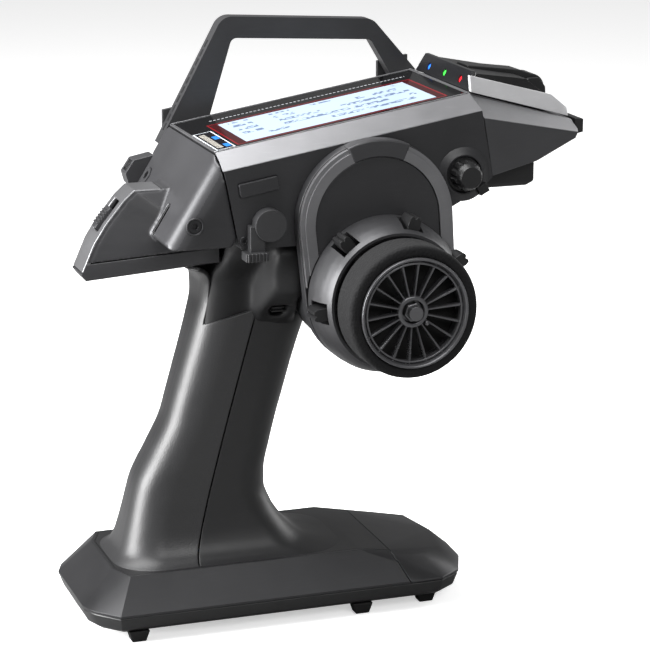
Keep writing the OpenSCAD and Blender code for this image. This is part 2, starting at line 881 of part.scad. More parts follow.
// Turning lever: round boss with an arm and a ribbed thumb tip
module lever() color("#3d3d40") {
    bar_y(lever_at.x, lever_at.y, lever_r, side_y - 6, side_y - gap);
    bar_y(lever_at.x, lever_at.y, 2, side_y - gap, -32);
    translate([lever_at.x, 0, lever_at.y]) {
        span([-8.5, side_y - 4.6, -11.5], [-2.2, side_y - gap, 0]);
        span([-11, side_y - 7, -14.2], [-1.4, side_y - gap, -10.6]);
        for (x = [-10.4 : 1.5 : -2])
            span([x, side_y - 7.8, -14.2], [x + 0.8, side_y - 7, -10.6]);
    }
}

// Knurled dial with a cone-shaped front
module dial_knob() color("#222225") {
    translate([dial_at.x, side_y - 0.4, dial_at.y]) rotate([90, 0, 0]) {
        difference() {
            union() {
                cylinder(r = dial_r, h = 6);
                translate([0, 0, 6]) cylinder(r1 = dial_r - 0.4, r2 = dial_r - 1.8, h = 2.6);
                translate([0, 0, -1.2]) cylinder(r = dial_r + 0.9, h = 1.2);
            }
            for (i = [0 : 11])
                rotate(30 * i) translate([dial_r + 0.5, 0, 0.6]) cylinder(r = 1.1, h = 9, $fn = 16);
        }
        translate([0, 0, -10]) cylinder(r = 2, h = 9);
    }
}

// ---------------------------------------------------------------- grip

// Cross-sections of the grip from the base upwards: height, rear, front, half width, corner radius
grip_sections = [
    [base_top_z, -100, -4, 28, 14], [32, -97, -16, 23.5, 13], [41, -93.4, -24.6, 19.4, 12],
    [56, -87.6, -29.6, 17.6, 12], [90, -72.8, -22.8, 17.4, 12], [128, -61.4, -12, 18.6, 12],
    [147, -58.6, -8, 20, 12]
];

module grip_section(s, t) {
    translate([(s[1] + s[2]) / 2, 0, s[0]]) linear_extrude(0.01)
        offset(s[4] - t, $fn = 32) square([s[2] - s[1] - 2 * s[4], 2 * (s[3] - s[4])], center = true);
}

module grip_mass(t = 0) {
    for (i = [0 : len(grip_sections) - 2])
        hull() {
            grip_section(grip_sections[i], t);
            grip_section(grip_sections[i + 1], t);
        }
}

// Side outline that the rubber cover takes from the grip
module rubber_outline(grow = 0) {
    polygon([
        [-120, 28], [-63.4 + grow, 28], [-37 + grow, 133.5 + grow], [-56 + grow, 129 + grow],
        [-64 + grow, 150], [-120, 150]
    ]);
}

module rubber_grip() color("#29292b") {
    difference() {
        intersection() {
            grip_mass();
            across(-60, 60) rubber_outline();
        }
        grip_mass(2.6);
    }
}

module grip_front() color("#313134") {
    difference() {
        union() {
            grip_mass();
            neck_mass();
        }
        grip_mass(2.8);
        across(-60, 60) rubber_outline(seam);
        // hollow of the neck
        hull() {
            translate([-56, -15, 147]) cube([30, 30, 1]);
            translate([-50, -24, 166]) cube([24, 48, 1]);
        }
        // channel of the grip slider
        span([-32, -30, 131.6], [-25.6, -18.4, 144.2]);
        // stays clear of the tail cover and the steering drum
        tail_mass(-seam);
        bar_y(wheel_x, wheel_z, 30.5, -60, -12);
    }
}

// Neck that widens from the grip up to the head's floor and forward to the steering drum
module neck_mass() {
    hull() {
        grip_section(grip_sections[6], 0);
        translate([-52, -30, 160]) cube([30, 60, 1]);
    }
    hull() {
        translate([-52, -30, 160]) cube([30, 60, 1]);
        translate([-51.6, -39, 165]) cube([34, 78, 0.8]);
    }
    // web towards the drum on the right side
    hull() {
        translate([-40, -19, 128]) cube([20, 4, 18]);
        translate([-34, -40, 146]) cube([14, 24, 16]);
    }
}

module grip_slider() color("#1b1b1d") {
    translate([-28.8, -22.4, 137.9]) {
        span([-2.6, 0, -3.8], [2.6, 3.4, 3.8]);
        for (z = [-3.4 : 1.5 : 3.4])
            span([-2.6, -1.4, z - 0.4], [2.6, 0, z + 0.4]);
        span([-2, -0.7, -3.6], [2, 0, 3.6]);
    }
}

// ---------------------------------------------------------------- base

// Outline of the base at the bottom of the band, moved outwards by grow
module base_outline(grow = 0) {
    offset(delta = grow) polygon([
        [rear_end, -22], [-112, -30], [-103, -base_half], [40, -base_half], [50, -33], [57, -16], [58, 0],
        [57, 16], [50, 33], [40, base_half], [-103, base_half], [-112, 30], [rear_end, 22]
    ]);
}

// Outline of the base at its top edge
module base_top_outline(grow = 0) {
    offset(delta = grow) polygon([
        [-101, -18], [-96, -base_top_half], [34, -base_top_half], [45, -22], [49, 0], [45, 22],
        [34, base_top_half], [-96, base_top_half], [-101, 18]
    ]);
}

module base_mass(t = 0) {
    hull() {
        translate([0, 0, band_z]) linear_extrude(1) base_outline(-t);
        translate([0, 0, base_top_z - 0.6 - t]) linear_extrude(0.6) intersection() {
            base_top_outline(-t);
            translate([-200, -100]) square([205, 200]);
        }
        translate([0, 0, 21 - t]) linear_extrude(0.6) base_top_outline(-t);
    }
}

// Line where the battery door parts from the band
module door_outline(grow = 0) {
    polygon([[12 - grow, 40], [30 - grow, 4], [80, 4], [80, 40]]);
}

// Column inside which the top cover closes the base
module top_column(grow) {
    translate([0, 0, 18]) linear_extrude(20) base_top_outline(grow - 1.4);
}

module base_band() color("#5b5b5f") {
    difference() {
        base_mass();
        base_mass(2.6);
        top_column(0);
        across(-60, 60) door_outline(seam);
    }
}

// Slides off forwards to open the battery bay
module battery_door() color("#515155") {
    difference() {
        intersection() {
            base_mass();
            across(-60, 60) door_outline();
        }
        base_mass(2.6);
    }
}

module base_cover() color("#2c2c2f") {
    difference() {
        intersection() {
            base_mass();
            top_column(-seam);
        }
        base_mass(2.6);
        across(-60, 60) door_outline(seam);
        grip_socket();
    }
}

// The grip's hollow opens into the base through here
module grip_socket() {
    translate([-76, -10, 20]) cube([34, 20, 20]);
}

module base_pan() color("#19191b") {
    difference() {
        union() {
            hull() {
                translate([0, 0, band_z - 1 - seam]) linear_extrude(1) base_outline(-0.6);
                translate([0, 0, 7]) linear_extrude(1) base_outline(-2.4);
            }
            hull() {
                translate([0, 0, 7]) linear_extrude(1) base_outline(-2.4);
                translate([0, 0, foot_h]) linear_extrude(0.5) base_outline(-5.4);
            }
        }
        translate([0, 0, foot_h + 2.2]) linear_extrude(20) base_outline(-7.6);
    }
}

module feet() color("#141416") {
    for (i = [0 : 2], s = [-1, 1])
        translate([foot_x[i], s * foot_y[i], 0]) hull() {
            translate([-3, -2.6, 0]) cube([6, 5.2, 0.4]);
            translate([-4.4, -3.4, foot_h - 0.4]) cube([8.8, 6.8, 0.4]);
        }
}

// Four cells lying in pairs along the base
module battery_cells() color("#2f6f9f") {
    for (x = [-77, -26.6], y = [-8, 8])
        translate([x, y, 14.6]) rotate([0, 90, 0]) {
            cylinder(r = 7.1, h = 49);
            translate([0, 0, 49]) cylinder(r = 2.6, h = 1.2);
        }
}

module speaker() color("#3d3d3f") {
    translate([-90, 0, 7.6]) difference() {
        cylinder(r = 11, h = 6);
        translate([0, 0, 4.4]) cylinder(r1 = 4, r2 = 9.5, h = 1.7);
    }
}

// ---------------------------------------------------------------- fasteners

module case_screws() color("#77787c") {
    for (at = side_screws)
        translate([at.x, side_y + 1.5, at.y]) rotate([90, 0, 0]) screw(at[2], 0.8);
    for (x = handle_screws)
        translate([x, head_half + 0.5, deck(x) - 11]) rotate([-90, 0, 0]) screw(1.5, wall);
}

// Holes for the shanks of the screws
module screw_holes() {
    for (at = side_screws) {
        bar_y(at.x, at.y, at[2] * 0.5 + run, side_y - 1, side_y + wall + 1);
        bar_y(at.x, at.y, at[2] + 0.1, side_y - 1, side_y + 1.55);
    }
    for (x = handle_screws)
        bar_y(x, deck(x) - 11, 0.8 + run, head_half - wall - 1, head_half + 1);
}

// Moves the finished model so that its origin is at the bottom centre of its box
module placed() {
    translate(origin_shift) children();
}

placed() head_shell_right();
placed() head_shell_left();
placed() rear_cover();
placed() tail_cover();
placed() power_strip();
placed() power_switch();
placed() encoder_housing();
placed() edit_encoder();
placed() headphone_jack();
placed() card_socket();
placed() display_glass();
placed() display_module();
placed() led_pod();
placed() status_leds();
placed() nose_shell();
placed() nose_side_panels();
placed() nose_top_cover();
placed() antenna_arm();
placed() antenna_pin();
placed() nose_bumper();
placed() sensor_box();
placed() strap_eyelet();
placed() carry_handle();
placed() main_board();
placed() radio_board();
placed() steering_housing();
placed() arch_bezel();
placed() trim_collar();
placed() trim_rocker_1();
placed() trim_rocker_2();
placed() trim_rocker_3();
placed() trim_rocker_4();
placed() steering_shaft();
placed() shaft_bearings();
placed() steering_sensor();
placed() steering_spring();
placed() wheel_rim();
placed() wheel_foam();
placed() wheel_nut();
placed() trigger();
placed() trigger_pin();
placed() trigger_bracket();
placed() trigger_spring();
placed() trigger_sensor();
placed() sw1_button();
placed() sw2_button();
placed() sw3_button();
placed() lever();
placed() dial_knob();
placed() grip_front();
placed() rubber_grip();
placed() grip_slider();
placed() base_cover();
placed() base_band();
placed() battery_door();
placed() base_pan();
placed() feet();
placed() battery_cells();
placed() speaker();
placed() case_screws();
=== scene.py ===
"""Looks of a pistol-grip radio transmitter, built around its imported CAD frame.

Every class below is one sub-assembly: it holds its sizes, builds its meshes and dresses them.
Sizes are the maker's own millimetres, measured from the middle plane of the grip and the table
top; at_mm() turns them into metres in the frame that the CAD uses.
"""

import logging
import math
from dataclasses import dataclass, field
from enum import Enum
from typing import Callable, Iterable, Sequence

import bmesh
import bpy
from mathutils import Matrix, Vector

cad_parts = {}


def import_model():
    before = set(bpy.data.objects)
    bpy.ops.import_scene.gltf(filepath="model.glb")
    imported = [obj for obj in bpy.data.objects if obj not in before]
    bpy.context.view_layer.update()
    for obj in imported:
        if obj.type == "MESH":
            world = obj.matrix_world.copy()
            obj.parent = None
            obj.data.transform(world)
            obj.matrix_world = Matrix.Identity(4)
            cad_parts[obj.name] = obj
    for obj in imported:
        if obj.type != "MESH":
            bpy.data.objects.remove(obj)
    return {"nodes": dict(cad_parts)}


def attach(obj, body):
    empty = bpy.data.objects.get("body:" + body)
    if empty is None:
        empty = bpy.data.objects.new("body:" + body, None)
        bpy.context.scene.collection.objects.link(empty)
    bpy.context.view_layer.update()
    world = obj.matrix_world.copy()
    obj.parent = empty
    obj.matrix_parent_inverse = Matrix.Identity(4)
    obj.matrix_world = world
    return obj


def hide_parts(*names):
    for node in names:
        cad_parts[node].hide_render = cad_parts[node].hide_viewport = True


MM = 0.001
ORIGIN_SHIFT = Vector((2.8, 21.9, 0.0))
PITCH = math.radians(9.4)
DISPLAY_REAR = Vector((-58.5, 0.0, 205.0))
WHEEL_AXIS = Vector((8.0, 0.0, 145.6))
SIDE_Y = -42.0
FACE_Y = -50.0

LOG = logging.getLogger("transmitter")

Colour = tuple[float, float, float]
Outline = list[tuple[float, float]]
Range = tuple[tuple[float, float], tuple[float, float]]
AnyFinish = "Palette | Finish | Glow | DisplayArt"


# ---------------------------------------------------------------- places


def at_mm(x: float, y: float, z: float) -> Vector:
    """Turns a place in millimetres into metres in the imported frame.

    Args:
        x: distance ahead of the grip's reference.
        y: distance to the user's left of the middle plane.
        z: height above the table.

    Returns:
        The same place in the frame of the CAD model.
    """
    return (Vector((x, y, z)) + ORIGIN_SHIFT) * MM


def deck_point(along: float, across: float, up: float) -> Vector:
    """Gives a place on the sloping display plane.

    Args:
        along: distance up the slope from the display's rear edge.
        across: distance to the user's left.
        up: height off the plane.

    Returns:
        The place in the frame, in metres.
    """
    u = Vector((math.cos(PITCH), 0.0, math.sin(PITCH)))
    n = Vector((-math.sin(PITCH), 0.0, math.cos(PITCH)))
    p = DISPLAY_REAR + u * along + Vector((0.0, across, 0.0)) + n * up
    return at_mm(*p)


def smooth_step(low: float, high: float, value: float) -> float:
    """Rises smoothly from 0 at low to 1 at high."""
    t = min(1.0, max(0.0, (value - low) / (high - low)))
    return t * t * (3.0 - 2.0 * t)


def along_table(table: Sequence[tuple[float, ...]], key: float) -> tuple[float, ...]:
    """Reads a table of stations with a smooth curve through its rows.

    Args:
        table: rows that start with their station, in rising order.
        key: the station wanted.

    Returns:
        The row's other values at that station.
    """
    rows = list(table)
    key = min(max(key, rows[0][0]), rows[-1][0])
    i = max(j for j in range(len(rows) - 1) if rows[j][0] <= key)
    a, b = rows[i], rows[i + 1]
    before, after = rows[max(i - 1, 0)], rows[min(i + 2, len(rows) - 1)]
    h = b[0] - a[0]
    t = (key - a[0]) / h
    out = []
    for k in range(1, len(a)):
        chord = (b[k] - a[k]) / h
        slope_a = slope_b = chord
        if i > 0:
            slope_a = _gentle((a[k] - before[k]) / (a[0] - before[0]), chord)
        if i + 2 < len(rows):
            slope_b = _gentle(chord, (after[k] - b[k]) / (after[0] - b[0]))
        out.append(
            (1 + 2 * t) * (1 - t) ** 2 * a[k]
            + t * (1 - t) ** 2 * h * slope_a
            + t * t * (3 - 2 * t) * b[k]
            + t * t * (t - 1) * h * slope_b
        )
    return tuple(out)


def _gentle(left: float, right: float) -> float:
    """Slope at a station that keeps the curve from swinging past its rows."""
    if left * right <= 0:
        return 0.0
    return 2.0 * left * right / (left + right)


# ---------------------------------------------------------------- shader groups


class Graph:
    """A node tree that is filled by short calls."""

    def __init__(self, tree: bpy.types.NodeTree) -> None:
        """Keeps the tree to build in."""
        self.tree = tree

    def add(self, kind: str, **settings: object) -> bpy.types.Node:
        """Adds a node and sets its attributes.

        Args:
            kind: the node's class name.
            settings: attributes to set on it.

        Returns:
            The node.
        """
        node = self.tree.nodes.new(kind)
        for name, value in settings.items():
            setattr(node, name, value)
        return node

    def feed(self, socket: bpy.types.NodeSocket, value: object) -> None:
        """Links a socket's value, or sets it where it is a plain number or colour."""
        if isinstance(value, bpy.types.NodeSocket):
            self.tree.links.new(value, socket)
        else:
            socket.default_value = value

    def math(self, operation: str, a: object, b: object = 0.0) -> bpy.types.NodeSocket:
        """Adds a Math node.

        Args:
            operation: its operation.
            a: first value or socket.
            b: second value or socket.

        Returns:
            The result's socket.
        """
        node = self.add("ShaderNodeMath", operation=operation)
        self.feed(node.inputs[0], a)
        self.feed(node.inputs[1], b)
        return node.outputs[0]

    def blend(self, share: object, a: object, b: object) -> bpy.types.NodeSocket:
        """Mixes two colours by a share and gives the result's socket."""
        node = self.add("ShaderNodeMix", data_type="RGBA")
        self.feed(node.inputs[0], share)
        self.feed(node.inputs[6], a)
        self.feed(node.inputs[7], b)
        return node.outputs[2]

    def tint(self, colour: object, factor: object) -> bpy.types.NodeSocket:
        """Multiplies a colour by a factor and gives the result's socket."""
        node = self.add("ShaderNodeMix", data_type="RGBA", blend_type="MULTIPLY")
        node.inputs[0].default_value = 1.0
        self.feed(node.inputs[6], colour)
        self.feed(node.inputs[7], factor)
        return node.outputs[2]

    def window(self, value: object, low: float, high: float) -> bpy.types.NodeSocket:
        """Gives 1 where a value lies between two limits and 0 elsewhere."""
        above = self.math("GREATER_THAN", value, low)
        below = self.math("LESS_THAN", value, high)
        return self.math("MULTIPLY", above, below)

    def box(
        self, u: object, v: object, low: tuple[float, float], high: tuple[float, float]
    ) -> bpy.types.NodeSocket:
        """Gives 1 inside a rectangle of the u, v plane and 0 outside it."""
        return self.math(
            "MULTIPLY", self.window(u, low[0], high[0]), self.window(v, low[1], high[1])
        )


def new_group(
    name: str, inputs: dict[str, float], outputs: dict[str, str]
) -> tuple[bpy.types.NodeTree, Graph]:
    """Starts a shader node group.

    Args:
        name: the group's name.
        inputs: number inputs and their usual values.
        outputs: output names and socket types.

    Returns:
        The tree, and a graph to fill it with.
    """
    tree = bpy.data.node_groups.new(name, "ShaderNodeTree")
    for label, value in inputs.items():
        socket = tree.interface.new_socket(label, in_out="INPUT", socket_type="NodeSocketFloat")
        socket.default_value = value
    for label, kind in outputs.items():
        tree.interface.new_socket(label, in_out="OUTPUT", socket_type=kind)
    return tree, Graph(tree)


def blank_material(name: str) -> tuple[bpy.types.Material, Graph, bpy.types.Node]:
    """Starts a material with one principled shader.

    Args:
        name: the material's name.

    Returns:
        The material, a graph to fill it with and its shader.
    """
    made = bpy.data.materials.new(name)
    made.use_nodes = True
    made.node_tree.nodes.clear()
    g = Graph(made.node_tree)
    shader = g.add("ShaderNodeBsdfPrincipled")
    g.feed(g.add("ShaderNodeOutputMaterial").inputs["Surface"], shader.outputs[0])
    return made, g, shader


class SharedEffects:
    """Surface effects that several finishes use, each built once."""

    def __init__(self) -> None:
        """Builds the groups."""
        self.grain = self._grain()
        self.mottle = self._mottle()
        self.scuffs = self._scuffs()

    def _grain(self) -> bpy.types.NodeTree:
        """Moulded grain: small rounded cells with finer noise on them."""
        tree, g = new_group(
            "moulded_grain", {"Cell": 0.4, "Depth": 1.0}, {"Height": "NodeSocketFloat"}
        )
        inner, outer = g.add("NodeGroupInput"), g.add("NodeGroupOutput")
        place = g.add("ShaderNodeTexCoord").outputs["Object"]
        scale = g.math("DIVIDE", 1000.0, inner.outputs["Cell"])
        cells = g.add("ShaderNodeTexVoronoi", feature="SMOOTH_F1")
        g.feed(cells.inputs["Vector"], place)
        g.feed(cells.inputs["Scale"], scale)
        fine = g.add("ShaderNodeTexNoise")
        g.feed(fine.inputs["Vector"], place)
        g.feed(fine.inputs["Scale"], g.math("MULTIPLY", scale, 0.7))
        fine.inputs["Detail"].default_value = 3.0
        height = g.math("ADD", cells.outputs["Distance"], g.math("MULTIPLY", fine.outputs[0], 0.8))
        g.feed(outer.inputs["Height"], g.math("MULTIPLY", height, inner.outputs["Depth"]))
        return tree

    def _mottle(self) -> bpy.types.NodeTree:
        """Slow unevenness of a moulded or painted surface."""
        tree, g = new_group(
            "slow_unevenness", {"Size": 20.0, "Low": 0.9, "High": 1.1},
            {"Factor": "NodeSocketFloat"},
        )
        inner, outer = g.add("NodeGroupInput"), g.add("NodeGroupOutput")
        noise = g.add("ShaderNodeTexNoise")
        g.feed(noise.inputs["Vector"], g.add("ShaderNodeTexCoord").outputs["Object"])
        g.feed(noise.inputs["Scale"], g.math("DIVIDE", 1000.0, inner.outputs["Size"]))
        noise.inputs["Detail"].default_value = 4.0
        ramp = g.add("ShaderNodeMapRange")
        g.feed(ramp.inputs["Value"], noise.outputs[0])
        ramp.inputs["From Min"].default_value = 0.3
        ramp.inputs["From Max"].default_value = 0.7
        g.feed(ramp.inputs["To Min"], inner.outputs["Low"])
        g.feed(ramp.inputs["To Max"], inner.outputs["High"])
        g.feed(outer.inputs["Factor"], ramp.outputs["Result"])
        return tree

    def _scuffs(self) -> bpy.types.NodeTree:
        """Faint thin marks from handling, as a mask."""
        tree, g = new_group(
            "handling_marks", {"Size": 9.0, "Amount": 0.3}, {"Mask": "NodeSocketFloat"}
        )
        inner, outer = g.add("NodeGroupInput"), g.add("NodeGroupOutput")
        stretch = g.add("ShaderNodeMapping", vector_type="POINT")
        g.feed(stretch.inputs["Vector"], g.add("ShaderNodeTexCoord").outputs["Object"])
        stretch.inputs["Scale"].default_value = (1.0, 3.0, 9.0)
        stretch.inputs["Rotation"].default_value = (0.4, 0.7, 0.2)
        noise = g.add("ShaderNodeTexNoise")
        g.feed(noise.inputs["Vector"], stretch.outputs[0])
        g.feed(noise.inputs["Scale"], g.math("DIVIDE", 1000.0, inner.outputs["Size"]))
        noise.inputs["Detail"].default_value = 6.0
        mask = g.add("ShaderNodeMapRange")
        g.feed(mask.inputs["Value"], noise.outputs[0])
        mask.inputs["From Min"].default_value = 0.56
        mask.inputs["From Max"].default_value = 0.74
        g.feed(
            outer.inputs["Mask"],
            g.math("MULTIPLY", mask.outputs["Result"], inner.outputs["Amount"]),
        )
        return tree


# ---------------------------------------------------------------- finishes


@dataclass(frozen=True)
class Finish:
    """A moulded, painted or metal finish.

    Colours are linear; cell and mottle sizes are in millimetres.
    """

    name: str
    slot: str
    colour: Colour
    roughness: float = 0.45
    metallic: float = 0.0
    specular: float = 0.5
    cell: float = 0.5
    grain: float = 0.05
    mottle_size: float = 24.0
    unevenness: float = 0.08
    scuffing: float = 0.12
    coat: float = 0.0
    sheen: float = 0.0

    def material(self, effects: SharedEffects) -> bpy.types.Material:
        """Builds the finish's material.

        Args:
            effects: the shared node groups.

        Returns:
            The material.
        """
        made, g, shader = blank_material(self.name)
        mottle = g.add("ShaderNodeGroup", node_tree=effects.mottle)
        mottle.inputs["Size"].default_value = self.mottle_size
        mottle.inputs["Low"].default_value = 1.0 - self.unevenness
        mottle.inputs["High"].default_value = 1.0 + self.unevenness
        scuffs = g.add("ShaderNodeGroup", node_tree=effects.scuffs)
        scuffs.inputs["Amount"].default_value = self.scuffing
        worn = [min(1.0, c * 1.5 + 0.01) for c in self.colour]
        base = g.blend(scuffs.outputs["Mask"], (*self.colour, 1.0), (*worn, 1.0))
        g.feed(shader.inputs["Base Color"], g.tint(base, mottle.outputs["Factor"]))
        rough = g.math("MULTIPLY", mottle.outputs["Factor"], self.roughness)
        g.feed(
            shader.inputs["Roughness"],
            g.math("ADD", rough, g.math("MULTIPLY", scuffs.outputs["Mask"], 0.12)),
        )
        grain = g.add("ShaderNodeGroup", node_tree=effects.grain)
        grain.inputs["Cell"].default_value = self.cell
        bump = g.add("ShaderNodeBump")
        bump.inputs["Strength"].default_value = min(1.0, self.grain * 4.0)
        bump.inputs["Distance"].default_value = self.grain * MM
        g.feed(bump.inputs["Height"], grain.outputs["Height"])
        g.feed(shader.inputs["Normal"], bump.outputs[0])
        shader.inputs["Metallic"].default_value = self.metallic
        shader.inputs["Specular IOR Level"].default_value = self.specular
        shader.inputs["Coat Weight"].default_value = self.coat
        shader.inputs["Coat Roughness"].default_value = 0.12
        shader.inputs["Sheen Weight"].default_value = self.sheen
        shader.inputs["Sheen Roughness"].default_value = 0.6
        return made


@dataclass(frozen=True)
class Glow:
    """A lit coloured lens."""

    name: str
    slot: str
    colour: Colour
    strength: float

    def material(self, effects: SharedEffects) -> bpy.types.Material:
        """Builds the lens material, brighter where its slow unevenness is high."""
        made, g, shader = blank_material(self.name)
        mottle = g.add("ShaderNodeGroup", node_tree=effects.mottle)
        mottle.inputs["Size"].default_value = 2.0
        mottle.inputs["Low"].default_value = 0.7
        shade = g.tint((*self.colour, 1.0), mottle.outputs["Factor"])
        g.feed(shader.inputs["Base Color"], shade)
        g.feed(shader.inputs["Emission Color"], shade)
        shader.inputs["Emission Strength"].default_value = self.strength
        shader.inputs["Roughness"].default_value = 0.15
        return made


@dataclass(frozen=True)
class DisplayArt:
    """Printed gloss panel: a lit area with rows of marks, a red surround and a small patch.

    Ranges are millimetres up the slope from the panel's rear edge, and across from the middle.
    """

    name: str = "display_panel"
    slot: str = "display_glass"
    reading: Range = ((15.5, -27.3), (99.3, 13.0))
    surround: Range = ((11.2, -29.4), (103.4, 15.6))
    patch: Range = ((1.8, -31.0), (9.8, 4.5))
    dashes: Range = ((14.0, 22.0), (104.0, 23.1))
    line: float = 0.55
    row_pitch: float = 7.5
    cell: float = 1.3

    def material(self, effects: SharedEffects) -> bpy.types.Material:
        """Builds the panel's material.

        Args:
            effects: the shared node groups.

        Returns:
            The material.
        """
        made, g, shader = blank_material(self.name)
        place = g.add("ShaderNodeMapping", vector_type="TEXTURE")
        g.feed(place.inputs["Vector"], g.add("ShaderNodeTexCoord").outputs["Object"])
        place.inputs["Location"].default_value = at_mm(*DISPLAY_REAR)
        place.inputs["Rotation"].default_value = (0.0, -PITCH, 0.0)
        place.inputs["Scale"].default_value = (MM, MM, MM)
        split = g.add("ShaderNodeSeparateXYZ")
        g.feed(split.inputs[0], place.outputs[0])
        u, v = split.outputs[0], split.outputs[1]
        reading, surround, patch = (
            g.box(u, v, *r) for r in (self.reading, self.surround, self.patch)
        )
        ink = self._marks(g, place.outputs[0], u, v)
        paper = g.blend(ink, (0.3, 0.37, 0.45, 1.0), (0.03, 0.05, 0.13, 1.0))
        (u0, v0), (u1, v1) = self.surround
        line = self.line
        inner = g.box(u, v, (u0 + line, v0 + line), (u1 - line, v1 - line))
        red = g.blend(inner, (0.2, 0.004, 0.008, 1.0), (0.03, 0.001, 0.002, 1.0))
        colour = g.blend(surround, (0.003, 0.003, 0.0035, 1.0), red)
        colour = g.blend(patch, colour, self._patch_colour(g, u, v))
        dash = g.math("LESS_THAN", g.math("FRACT", g.math("MULTIPLY", u, 0.55)), 0.6)
        strip = g.math("MULTIPLY", g.box(u, v, *self.dashes), dash)
        colour = g.blend(g.math("MULTIPLY", strip, 0.6), colour, (0.5, 0.52, 0.54, 1.0))
        colour = g.blend(reading, colour, paper)
        g.feed(shader.inputs["Base Color"], colour)
        glow = g.blend(reading, (0.0, 0.0, 0.0, 1.0), paper)
        g.feed(shader.inputs["Emission Color"], glow)
        shader.inputs["Emission Strength"].default_value = 0.2
        mottle = g.add("ShaderNodeGroup", node_tree=effects.mottle)
        g.feed(shader.inputs["Roughness"], g.math("MULTIPLY", mottle.outputs["Factor"], 0.09))
        shader.inputs["Specular IOR Level"].default_value = 0.12
        return made

    def _marks(self, g: Graph, place: object, u: object, v: object) -> bpy.types.NodeSocket:
        """Rows of small square marks in groups, with no shapes of letters in them."""
        snap = g.add("ShaderNodeVectorMath", operation="SNAP")
        g.feed(snap.inputs[0], place)
        snap.inputs[1].default_value = (self.cell, self.cell, 1000.0)
        small = g.add("ShaderNodeTexWhiteNoise", noise_dimensions="2D")
        g.feed(small.inputs["Vector"], snap.outputs[0])
        coarse = g.add("ShaderNodeVectorMath", operation="SNAP")
        g.feed(coarse.inputs[0], place)
        coarse.inputs[1].default_value = (9.3, self.row_pitch, 1000.0)
        group = g.add("ShaderNodeTexWhiteNoise", noise_dimensions="2D")
        g.feed(group.inputs["Vector"], coarse.outputs[0])
        row = g.math("FRACT", g.math("DIVIDE", g.math("ADD", v, 60.0), self.row_pitch))
        in_row = g.window(row, 0.18, 0.68)
        margin = g.box(u, v, (19.0, -24.5), (96.0, 11.0))
        dots = g.math("GREATER_THAN", small.outputs["Value"], 0.42)
        shown = g.math("GREATER_THAN", group.outputs["Value"], 0.36)
        ink = g.math(
            "MULTIPLY", g.math("MULTIPLY", dots, shown), g.math("MULTIPLY", in_row, margin)
        )
        return g.math("MULTIPLY", ink, 0.75)

    def _patch_colour(self, g: Graph, u: object, v: object) -> bpy.types.NodeSocket:
        """Small printed patch: a thin light frame, blue squares and fine light hatching."""
        (u0, v0), (u1, v1) = self.patch
        inside = g.box(u, v, (u0 + 0.5, v0 + 0.5), (u1 - 0.5, v1 - 0.5))
        fields = (
            g.box(u, v, (u0 + 4.9, v0 + low), (u0 + 7.2, v0 + high))
            for low, high in ((3.0, 9.0), (19.0, 25.0))
        )
        blue = g.math("MAXIMUM", *fields)
        hatch = g.math("LESS_THAN", g.math("FRACT", g.math("MULTIPLY", v, 0.8)), 0.45)
        hatch = g.math("MULTIPLY", hatch, g.box(u, v, (u0 + 1.4, v0 + 3.0), (u0 + 3.9, v1 - 4.0)))
        colour = g.blend(inside, (0.62, 0.66, 0.7, 1.0), (0.004, 0.004, 0.006, 1.0))
        colour = g.blend(blue, colour, (0.02, 0.16, 0.5, 1.0))
        return g.blend(hatch, colour, (0.55, 0.52, 0.46, 1.0))


